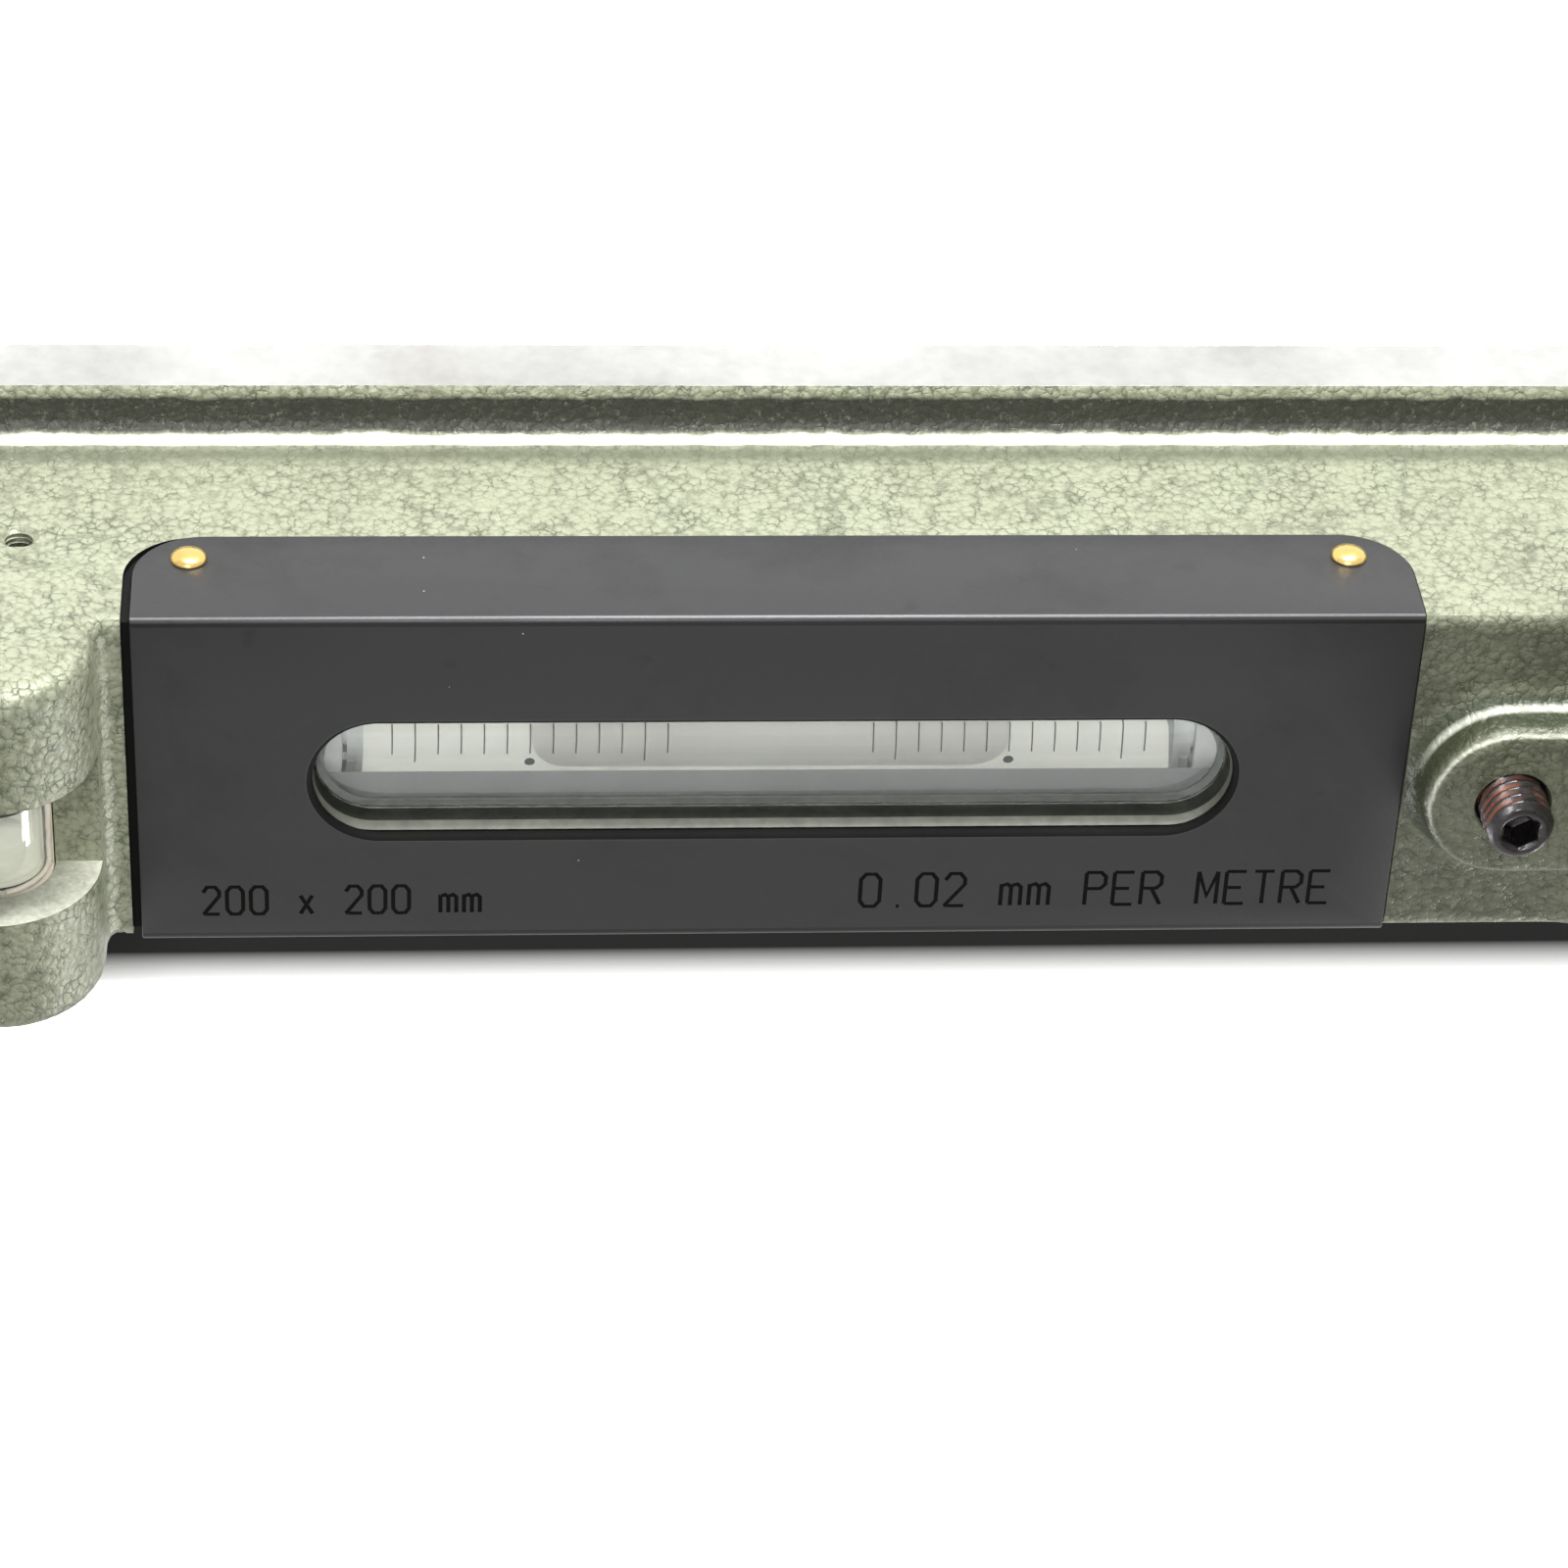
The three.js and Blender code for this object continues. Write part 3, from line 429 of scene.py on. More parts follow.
class Shade:
    """Builds the node tree of one material, or of the world."""

    def __init__(self, name: str, holder: bpy.types.ID | None = None) -> None:
        """Starts an empty tree.

        Args:
            name: What a new material is called, before its last word.
            holder: The world that the tree is for, in place of a new material.
        """
        self.material = holder or bpy.data.materials.new(f"{name}_finish")
        self.material.use_nodes = True
        self.tree = self.material.node_tree
        self.tree.nodes.clear()
        self.place = self.term("TexCoord", "Object")

    def node(self, kind: str, values: dict | None = None, **settings: object) -> bpy.types.Node:
        """Adds a node.

        Args:
            kind: The node's type, without its common first word.
            values: What goes into its sockets: a number, a colour or a term.
            **settings: Its own settings.

        Returns:
            The node.
        """
        node = self.tree.nodes.new(f"ShaderNode{kind}")
        for name, value in settings.items():
            setattr(node, name, value)
        for name, value in (values or {}).items():
            if isinstance(value, Term):
                self.tree.links.new(value.socket, node.inputs[name])
            else:
                node.inputs[name].default_value = value
        return node

    def term(self, kind: str, output: int | str, values: dict | None = None, **settings: object) -> Term:
        """Returns one output of a new node, which node() adds."""
        return Term(self, self.node(kind, values, **settings).outputs[output])

    def math(self, operation: str, first: object, second: object = 0.0, third: float = 0.5) -> Term:
        """Returns a small calculation with numbers or terms."""
        return self.term("Math", 0, {0: first, 1: second, 2: third}, operation=operation)

    def parts(self) -> list[Term]:
        """Returns the place's X, Y and Z."""
        sockets = self.node("SeparateXYZ", {0: self.place}).outputs
        return [Term(self, socket) for socket in sockets]

    def ray(self, kind: str) -> Term:
        """Returns 1 for light paths of that kind and 0 for others."""
        return self.term("LightPath", f"Is {kind} Ray")

    def stretch(self, scale: Sequence[float]) -> Term:
        """Returns the place on the piece, scaled along each axis."""
        return self.term("Mapping", 0, {"Vector": self.place, "Scale": scale})

    def noise(self, scale: float, detail: float = 3.0, rough: float = 0.5, where: Term | None = None) -> Term:
        """Returns cloudy noise of that scale, as a number."""
        values = {"Vector": where or self.place, "Scale": scale, "Detail": detail, "Roughness": rough}
        return self.term("TexNoise", "Fac", values)

    def patches(self, noise: Sequence[float], low: float, high: float, most: float = 1.0) -> Term:
        """Returns noise of that scale, detail and roughness, which rises from 0 at low to most at high."""
        return self.span(self.noise(*noise), (low, high), (0.0, most))

    def spread(self, grain: Term, rough: float, more: float) -> Term:
        """Returns a roughness that a grain raises here and there by up to that much more."""
        return self.span(grain, (0.3, 0.7), (rough, rough + more))

    def ramp(self, value: Term, stops: Sequence[tuple[float, Colour]]) -> Term:
        """Reads a colour ramp.

        Args:
            value: Where it is read.
            stops: Places on it with their colours.

        Returns:
            The colour.
        """
        node = self.node("ValToRGB", {"Fac": value})
        while len(node.color_ramp.elements) < len(stops):
            node.color_ramp.elements.new(0.5)
        for element, (place, colour) in zip(node.color_ramp.elements, stops):
            element.position = place
            element.color = (*colour, 1)
        return Term(self, node.outputs["Color"])

    def span(self, value: Term, old: Sequence[float], new: Sequence[float] = (0.0, 1.0)) -> Term:
        """Returns a value moved from the old range to the new one."""
        return self.term("MapRange", 0, {0: value, 1: old[0], 2: old[1], 3: new[0], 4: new[1]})

    def band(self, value: Term, low: float, high: float, soft: float) -> Term:
        """Returns 1 between two distances in millimetres and 0 outside, with soft ends."""
        rise = self.span(value, ((low - soft) * MM, (low + soft) * MM))
        return rise * self.span(value, ((high - soft) * MM, (high + soft) * MM), (1.0, 0.0))

    def mix(self, share: object, first: object, second: object) -> Term:
        """Returns a mix of two colours."""
        ends = [value if isinstance(value, Term) else (*value, 1) for value in (first, second)]
        return self.term("Mix", 2, {0: share, 6: ends[0], 7: ends[1]}, data_type="RGBA")

    def bump(self, height: Term, depth: float, strength: float = 1.0) -> Term:
        """Returns the surface's direction over a height, with a depth in millimetres."""
        sockets = {"Height": height, "Distance": depth * MM, "Strength": strength}
        return self.term("Bump", 0, sockets)

    def surface(self, colour: Term, rough: object, normal: Term, more: dict) -> Material:
        """Ends the material with one surface.

        Args:
            colour: Its base colour.
            rough: Its roughness.
            normal: Its direction, from bump().
            more: Its other values. Clear surfaces let the lamps' light straight through.

        Returns:
            The material.
        """
        values = {"Base Color": colour, "Roughness": rough, "Normal": normal, **more}
        shader = self.term("BsdfPrincipled", 0, values)
        if "Transmission Weight" in more:
            open_air = self.term("BsdfTransparent", 0, {"Color": (1, 1, 1, 1)})
            shader = self.term("MixShader", 0, {0: self.ray("Shadow"), 1: shader, 2: open_air})
        self.node("OutputMaterial", {"Surface": shader})
        return self.material


@dataclass(frozen=True)
class HammerPaint:
    """Green hammertone paint on rough casting: small domed cells with broken dark wrinkles.

    Its colour also holds painted light: painted shade with painted glints on the rims' inner walls,
    a painted highlight along their fillets, where the paint is also smoother, a painted shadow on the
    web beside them, painted shade on the screw pad's wall and on the bar's top beside the pad, and
    painted highlights on the pad's foot and brow.
    """

    name: str = "hammer_paint"
    light: Colour = (0.345, 0.365, 0.262)
    dark: Colour = (0.115, 0.13, 0.085)
    painted_highlight: Colour = (0.78, 0.8, 0.68)
    wall_shade: Colour = (0.032, 0.032, 0.027)
    wall_glint: Colour = (0.3, 0.29, 0.25)
    patina: Colour = (0.27, 0.255, 0.18)
    wear_and_painted_light: Colour = (0.045, 0.05, 0.03)
    deep: Colour = (0.035, 0.043, 0.022)
    cell: float = 1150.0
    drift: float = 0.0011
    depth: float = 0.1
    rough: float = 0.27
    uneven: float = 0.0011
    half: float = 100.0
    web: float = 16.9
    rim: float = 7.6
    pad_x: float = -64.4
    pad_half: float = 7.8

    def rims(self, s: Shade) -> tuple[Term, Term, Term]:
        """Masks of the rims.

        Args:
            s: The material's builder.

        Returns:
            How far a place is a rim's inner wall, its fillet and the web beside it.
        """
        x, y, z = s.parts()
        past_x = self.half * MM - abs(x)
        past_z = 2 * self.half * MM - z
        inset = s.math("MINIMUM", past_x, s.math("MINIMUM", past_z, z))
        uneven = (s.noise(330.0, 4.0, 0.6) - 0.5) * self.uneven
        out = abs(y) + uneven
        inset = inset + uneven * 0.35
        web, rim = self.web, self.rim
        # wall is painted shade with painted glints on a rim's inner wall, fillet is a painted highlight along
        # its fillet, and beside is a painted shadow on the web next to it.
        wall = s.band(out, web + 0.7, web + 3.95, 0.2) * s.band(inset, rim - 1.0, rim + 0.75, 0.2)
        fillet = s.band(out, web - 0.8, web + 0.6, 0.12) * s.band(inset, rim + 0.25, rim + 1.75, 0.1)
        beside = s.band(inset, rim + 1.9, rim + 4.3, 0.9) * s.band(out, web - 0.8, web + 0.8, 0.2)
        return wall, fillet, beside

    def pad(self, s: Shade) -> tuple[Term, ...]:
        """Masks of the screw pad.

        Args:
            s: The material's builder.

        Returns:
            How far a place is the pad's wall, its pale foot or brow, or the bar's top beside it.
        """
        x, y, z = s.parts()
        ahead = s.math("MAXIMUM", x - self.pad_x * MM, 0.0)
        away = s.math("POWER", ahead, 2.0) + s.math("POWER", y, 2.0)
        away = s.math("SQRT", away) + (s.noise(260.0, 4.0, 0.6) - 0.5) * 0.0006
        half = self.pad_half
        # wall is painted shade on the pad's wall, foot and brow are painted highlights, and level is painted
        # shade on the bar's top beside the pad.
        wall = s.band(away, half - 0.25, half + 1.3, 0.25) * s.band(z, 36.6, 40.9, 0.25)
        foot = s.band(away, half - 0.3, half + 1.3, 0.2) * s.band(z, 37.85, 38.5, 0.2)
        foot = foot * s.span(y, (-5.5 * MM, -1.0 * MM), (1.0, 0.0))
        brow = s.band(away, half - 0.7, half - 0.42, 0.1) * s.band(z, 40.9, 42.0, 0.1)
        brow = brow * s.span(y, (-2.0 * MM, 4.0 * MM), (1.0, 0.2))
        level = s.band(z, 36.45, 43.0, 0.3) * s.span(s.noise(90.0, 4.0, 0.6), (0.3, 0.62), (0.6, 1.0))
        level = level * s.span(x, (-77.0 * MM, -70.0 * MM))
        level = level * s.span(abs(y), (15.9 * MM, 16.6 * MM), (1.0, 0.0))
        here = x < (self.pad_x + 12) * MM
        return tuple(mask * here for mask in (wall, s.math("MAXIMUM", foot, brow), level))

    def build(self) -> Material:
        """Builds the material.

        Returns:
            The material.
        """
        s = Shade(self.name)
        drift = s.term("TexNoise", "Color", {"Vector": s.place, "Scale": 900.0, "Detail": 3.0})
        push = s.term("VectorMath", 0, {0: drift, 1: (self.drift,) * 3}, operation="MULTIPLY")
        where = s.term("VectorMath", 0, {0: s.place, 1: push}, operation="ADD")
        cells = {"Vector": where, "Scale": self.cell, "Randomness": 1.0}
        dome = s.term("TexVoronoi", "Distance", cells, feature="F1")
        dome = s.span(dome, (0.0, 0.75), (1.0, 0.0))
        edge = s.term("TexVoronoi", "Distance", cells, feature="DISTANCE_TO_EDGE")
        broken = s.patches((520.0, 3.0, 0.6), 0.42, 0.62)
        wrinkle = s.span(edge, (0.0, 0.1), (1.0, 0.0)) * broken
        fine = s.noise(2900.0, 4.0, 0.7)
        broad = s.noise(150.0, 4.0, 0.6)
        wall, fillet, beside = self.rims(s)
        under, pale, level = self.pad(s)
        height = dome * 0.9 - wrinkle * 0.25 + fine * 0.6
        height = height * (1.0 - fillet * 0.8) + broad * 1.6
        # The tone is lighter on the cells' domes and darker in their wrinkles: random tone, and partly
        # painted shade that follows the relief.
        tone = dome * 0.34 + fine * 0.75 + broad * 0.4 - 0.32 - wrinkle * 0.24
        bright = tuple(1.25 * value for value in self.light)
        colour = s.ramp(tone, [(0.05, self.dark), (0.42, self.light), (0.85, bright)])
        colour = s.mix(s.patches((48.0, 4.0, 0.6), 0.42, 0.72, 0.3), colour, self.patina)
        wall_glints = s.span(s.noise(1900.0, 5.0, 0.7, s.stretch((1.0, 0.8, 0.8))), (0.57, 0.7))
        # Painted light over the paint, in order: painted shade on the bar's top by the pad, a painted shadow
        # on the web beside each rim, a painted highlight on the rim fillets, painted shade on the pad's wall,
        # painted highlights on the pad's foot and brow, and painted shade with painted glints on the rims'
        # inner walls.
        for mask, share, over in (
            (level, 0.6, self.wear_and_painted_light),
            (beside, 0.75, self.dark),
            (fillet, 0.85, self.painted_highlight),
            (under, 0.92, self.deep),
            (pale, 0.6, self.painted_highlight),
            (wall, 0.93, s.mix(wall_glints * 0.55, self.wall_shade, self.wall_glint)),
        ):
            colour = s.mix(mask * share, colour, over)
        more = {"Metallic": 0.1, "Specular IOR Level": 0.35}
        return s.surface(colour, s.spread(fine, self.rough, 0.13), s.bump(height, self.depth), more)


@dataclass(frozen=True)
class GroundIron:
    """Bare iron: ground faces with fine crossing marks, or darker machined bores."""

    name: str
    colour: Colour
    rough: float
    metallic: float = 0.95
    stained: Colour = (0.27, 0.22, 0.16)

    def build(self) -> Material:
        """Builds the material.

        Returns:
            The material.
        """
        s = Shade(self.name)
        lines = s.noise(900.0, 4.0, 0.7, s.stretch((0.05, 3.0, 0.05)))
        cross = s.noise(700.0, 4.0, 0.7, s.stretch((1.0, 0.08, 1.0)))
        grain = lines * 0.7 + cross * 0.3
        dull = tuple(0.72 * value for value in self.colour)
        colour = s.mix(s.span(grain, (0.35, 0.65)), dull, self.colour)
        colour = s.mix(s.patches((45.0, 5.0, 0.65), 0.58, 0.75, 0.35), colour, self.stained)
        rough = s.spread(grain, self.rough, 0.16)
        return s.surface(colour, rough, s.bump(grain, 0.02, 0.6), {"Metallic": self.metallic})


@dataclass(frozen=True)
class CoverBlack:
    """Satin black on folded sheet, with faint smudges, pin-head dust, wear and a painted highlight on the
    fold, and a painted shade line beside it.
    """

    name: str = "cover_black"
    colour: Colour = (0.03, 0.03, 0.032)
    smudged: Colour = (0.014, 0.014, 0.014)
    spotted: Colour = (0.014, 0.013, 0.013)
    wear_and_painted_light: Colour = (0.3, 0.3, 0.31)
    shaded: Colour = (0.003, 0.003, 0.003)
    dusty: Colour = (0.5, 0.5, 0.48)
    fold_y: float = 17.2
    fold_z: float = 37.0

    def build(self) -> Material:
        """Builds the material, with wear and a painted highlight on each fold and a painted shade line beside
        it.

        Returns:
            The material.
        """
        s = Shade(self.name)
        smudge = s.noise(75.0, 5.0, 0.62)
        grain = s.noise(2600.0, 3.0, 0.65)
        _, y, z = s.parts()
        side = abs(y)
        high = z > (self.fold_z - 0.34) * MM
        out = side > (self.fold_y - 0.2) * MM
        under = z > (self.fold_z - 0.03) * MM
        near = s.math("COMPARE", side, (self.fold_y - 0.68) * MM, 0.19 * MM)
        dust = {"Vector": s.place, "Scale": 350.0}
        tint = s.term("TexVoronoi", "Color", dust)
        rare = s.term("SeparateColor", 0, {"Color": tint}) > 0.7
        speck = (s.term("TexVoronoi", "Distance", dust) < 0.03) * rare
        colour = s.mix(s.span(smudge, (0.5, 0.66), (0.0, 0.4)), self.colour, self.smudged)
        # The fold line is partly wear and partly a painted highlight, and the dark line beside it is painted
        # shade.
        for mask, over in (
            (s.patches((210.0, 2.0, 0.5), 0.7, 0.78, 0.5), self.spotted),
            (high * out * s.span(grain, (0.3, 0.6), (0.75, 1.0)) * 0.45, self.wear_and_painted_light),
            (under * near * 0.85, self.shaded),
            (speck * 0.8, self.dusty),
        ):
            colour = s.mix(mask, colour, over)
        rough = s.span(smudge, (0.45, 0.66), (0.34, 0.42)) + grain * 0.08
        return s.surface(colour, rough, s.bump(grain, 0.012, 0.8), {"Specular IOR Level": 0.42})


@dataclass(frozen=True)
class Metal:
    """Turned, drawn or plated metal with faint tool marks and tarnish."""

    name: str
    colour: Colour
    rough: float
    tarnish: Colour

    def build(self) -> Material:
        """Builds the material.

        Returns:
            The material.
        """
        s = Shade(self.name)
        grain = s.noise(1500.0, 4.0, 0.6)
        colour = s.mix(s.patches((240.0, 4.0, 0.6), 0.45, 0.7, 0.3), self.colour, self.tarnish)
        rough = s.spread(grain, self.rough, 0.14)
        return s.surface(colour, rough, s.bump(grain, 0.006, 0.5), {"Metallic": 1.0})


@dataclass(frozen=True)
class LockedThread:
    """Blackened steel with dried red-brown thread lock in the thread."""

    name: str = "locked_thread"
    screw_x: float = -64.4
    crest: float = 2.93
    root: float = 2.5
    socket: float = 2.35
    locked_to: float = 44.5
    thick: float = 2.4

    def build(self) -> Material:
        """Builds the material.

        Returns:
            The material.
        """
        s = Shade(self.name)
        x, y, z = s.parts()
        reach = s.math("POWER", x - self.screw_x * MM, 2.0) + s.math("POWER", y, 2.0)
        reach = s.math("SQRT", reach)
        glue = s.span(reach, (self.root * MM, self.crest * MM), (1.0, 0.0)) * (reach > self.socket * MM)
        patches = s.patches((330.0, 3.0, 0.6), 0.4, 0.56)
        glue = glue * ((z < self.locked_to * MM) * patches) * self.thick
        glue = s.math("MINIMUM", glue, 1.0)
        steel = s.mix(s.noise(700.0, 4.0, 0.6), (0.03, 0.028, 0.03), (0.09, 0.083, 0.083))
        dried = s.mix(s.noise(900.0, 3.0, 0.6), (0.1, 0.05, 0.03), (0.27, 0.07, 0.026))
        rough = s.spread(s.noise(1800.0), 0.24, 0.2)
        normal = s.bump(s.noise(1500.0, 4.0, 0.6), 0.02, 0.6)
        return s.surface(s.mix(glue, steel, dried), rough, normal, {"Metallic": 0.85 - glue * 0.8})


@dataclass(frozen=True)
class Clear:
    """Glass, spirit or vapour, which differ in how far they bend light."""

    name: str
    colour: Colour
    bend: float

    def build(self) -> Material:
        """Builds the material, with the faint streaks that drawn glass has.

        Returns:
            The material.
        """
        s = Shade(self.name)
        streak = s.noise(160.0, 2.0, 0.5, s.stretch((0.2, 1.0, 1.0)))
        pale = tuple(min(1.0, 1.03 * value) for value in self.colour)
        more = {"IOR": self.bend, "Transmission Weight": 1.0}
        return s.surface(s.mix(streak, self.colour, pale), 0.0, s.bump(streak, 0.003, 0.3), more)


@dataclass(frozen=True)
class Matt:
    """A dull finish with a fine grain: plaster, putty, white lining, ink or moulded black."""

    name: str
    colour: Colour
    second: Colour
    rough: float
    scale: float = 900.0
    depth: float = 0.03
    shine: float = 0.5

    def build(self) -> Material:
        """Builds the material.

        Returns:
            The material.
        """
        s = Shade(self.name)
        grain = s.noise(self.scale, 5.0, 0.62)
        cloud = s.noise(self.scale * 0.12, 4.0, 0.6)
        colour = s.mix(s.span(grain + cloud, (0.75, 1.25)), self.colour, self.second)
        rough = s.spread(grain, self.rough, 0.12)
        return s.surface(colour, rough, s.bump(grain, self.depth, 0.8), {"Specular IOR Level": self.shine})


class Finish(Enum):
    """Every finish on the level."""

    PAINT = HammerPaint()
    GROUND = GroundIron("ground_iron", (0.5, 0.5, 0.48), 0.26)
    BORE = GroundIron("bored_iron", (0.16, 0.155, 0.145), 0.45, 0.7)
    MILLED = GroundIron("milled_iron", (0.47, 0.47, 0.46), 0.5, 0.55)
    # CUT is a cut face made pale, partly as a painted highlight where light falls on the notch's wall.
    CUT = Matt("cut_face_and_highlight", (0.6, 0.61, 0.52), (0.34, 0.35, 0.28), 0.5, 1800.0, 0.06)
    CHAMFER = Matt("slot_chamfer", (0.2, 0.206, 0.17), (0.12, 0.125, 0.1), 0.45, 700.0, 0.03)
    # SLOT is painted shade: near black on the slot's walls below the chamfer.
    SLOT = Matt("slot_wall_shade", (0.02, 0.022, 0.016), (0.045, 0.05, 0.036), 0.4, 1300.0, 0.05)
    COVER = CoverBlack()
    BRASS = Metal("pin_brass", (0.86, 0.62, 0.22), 0.16, (0.42, 0.24, 0.06))
    BLACK_STEEL = Metal("black_steel", (0.1, 0.095, 0.095), 0.34, (0.05, 0.04, 0.035))
    BRIGHT_STEEL = Metal("bright_steel", (0.66, 0.66, 0.65), 0.24, (0.4, 0.38, 0.34))
    HOLDER = Matt("holder_grey", (0.13, 0.137, 0.133), (0.16, 0.165, 0.16), 0.5, 1400.0, 0.008)
    THREAD = LockedThread()
    GLASS = Clear("clear_glass", (0.97, 0.985, 0.975), 1.47)
    PANE = Clear("pane_glass", (0.97, 0.985, 0.97), 1.5)
    SPIRIT = Clear("vial_liquid", (0.985, 0.985, 0.94), 1.36)
    VAPOUR = Clear("bubble_gas", (1.0, 1.0, 1.0), 0.93)
    LINING = Matt("white_lining", (0.9, 0.9, 0.85), (0.86, 0.86, 0.8), 0.6, 700.0, 0.004)
    SEALANT = Matt("end_sealant", (0.27, 0.28, 0.27), (0.32, 0.33, 0.32), 0.5, 800.0, 0.01)
    CEMENT = Matt("cream_cement", (0.97, 0.93, 0.84), (0.9, 0.8, 0.64), 0.7, 500.0, 0.05)
    PLASTER = Matt("grey_plaster", (0.42, 0.43, 0.42), (0.3, 0.31, 0.3), 0.75, 500.0, 0.04)
    PUTTY = Matt("grey_putty", (0.085, 0.09, 0.082), (0.06, 0.065, 0.058), 0.6)
    # SHADE is painted shade: near black in the cover's seat, on the window's lip and in the cut letters.
    SHADE = Matt("recess_shade", (0.006, 0.006, 0.006), (0.01, 0.01, 0.009), 0.6, 900.0, 0.02, 0.08)
    BACKING = Matt("backing_paint", (0.5, 0.5, 0.43), (0.43, 0.43, 0.36), 0.6, 700.0, 0.004)
    INK = Matt("scale_ink", (0.02, 0.02, 0.022), (0.035, 0.035, 0.035), 0.55, 1500.0, 0.004)
    PHENOLIC = Matt("grip_phenolic", (0.022, 0.022, 0.024), (0.034, 0.034, 0.036), 0.34, 1300.0, 0.02)

    @property
    def material(self) -> Material:
        """The finish's material, made when it is first used."""
        return made(self)


@cache
def made(finish: Finish) -> Material:
    """Returns a finish's material, built only once."""
    return finish.value.build()


def dress(piece: Piece, *finishes: Finish) -> None:
    """Puts finishes into a piece's slots.

    Args:
        piece: The piece.
        *finishes: One finish for each slot, in order.
    """
    piece.data.materials.clear()
    for finish in finishes:
        piece.data.materials.append(finish.material)


def seat(piece: Piece, body: str, slot: str, *nodes: str) -> None:
    """Fixes a piece to the frame.

    Args:
        piece: The finished piece.
        body: The body that it rides on.
        slot: The record's slot of its finish.
        *nodes: The solids that it stands for.
    """
    piece.visible_shadow = slot not in ("clear_glass", "vial_liquid", "bubble_gas")
    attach(piece, body)
    if nodes:
        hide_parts(*nodes)
    log.info("%s rides on %s, %d faces", piece.name, body, len(piece.data.polygons))


def fit(piece: Piece, angle: float, finish: Finish, body: str, slot: str, *nodes: str) -> None:
    """Smooths a piece, dresses it in one finish and seats it.

    Args:
        piece: The piece.
        angle: Edges sharper than this, in degrees, stay crisp.
        finish: Its finish.
        body: The body that it rides on.
        slot: The record's slot of its finish.
        *nodes: The solids that it stands for.
    """
    smooth(piece, angle)
    dress(piece, finish)
    seat(piece, body, slot, *nodes)


def repaint(node: str, finish: Finish) -> None:
    """Dresses a solid that is carried over, and smooths its round faces.

    Args:
        node: The solid's name.
        finish: Its finish.
    """
    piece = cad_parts[node]
    dress(piece, finish)
    smooth(piece, 40)


# ------------------------------------------------------------------- sub-assemblies


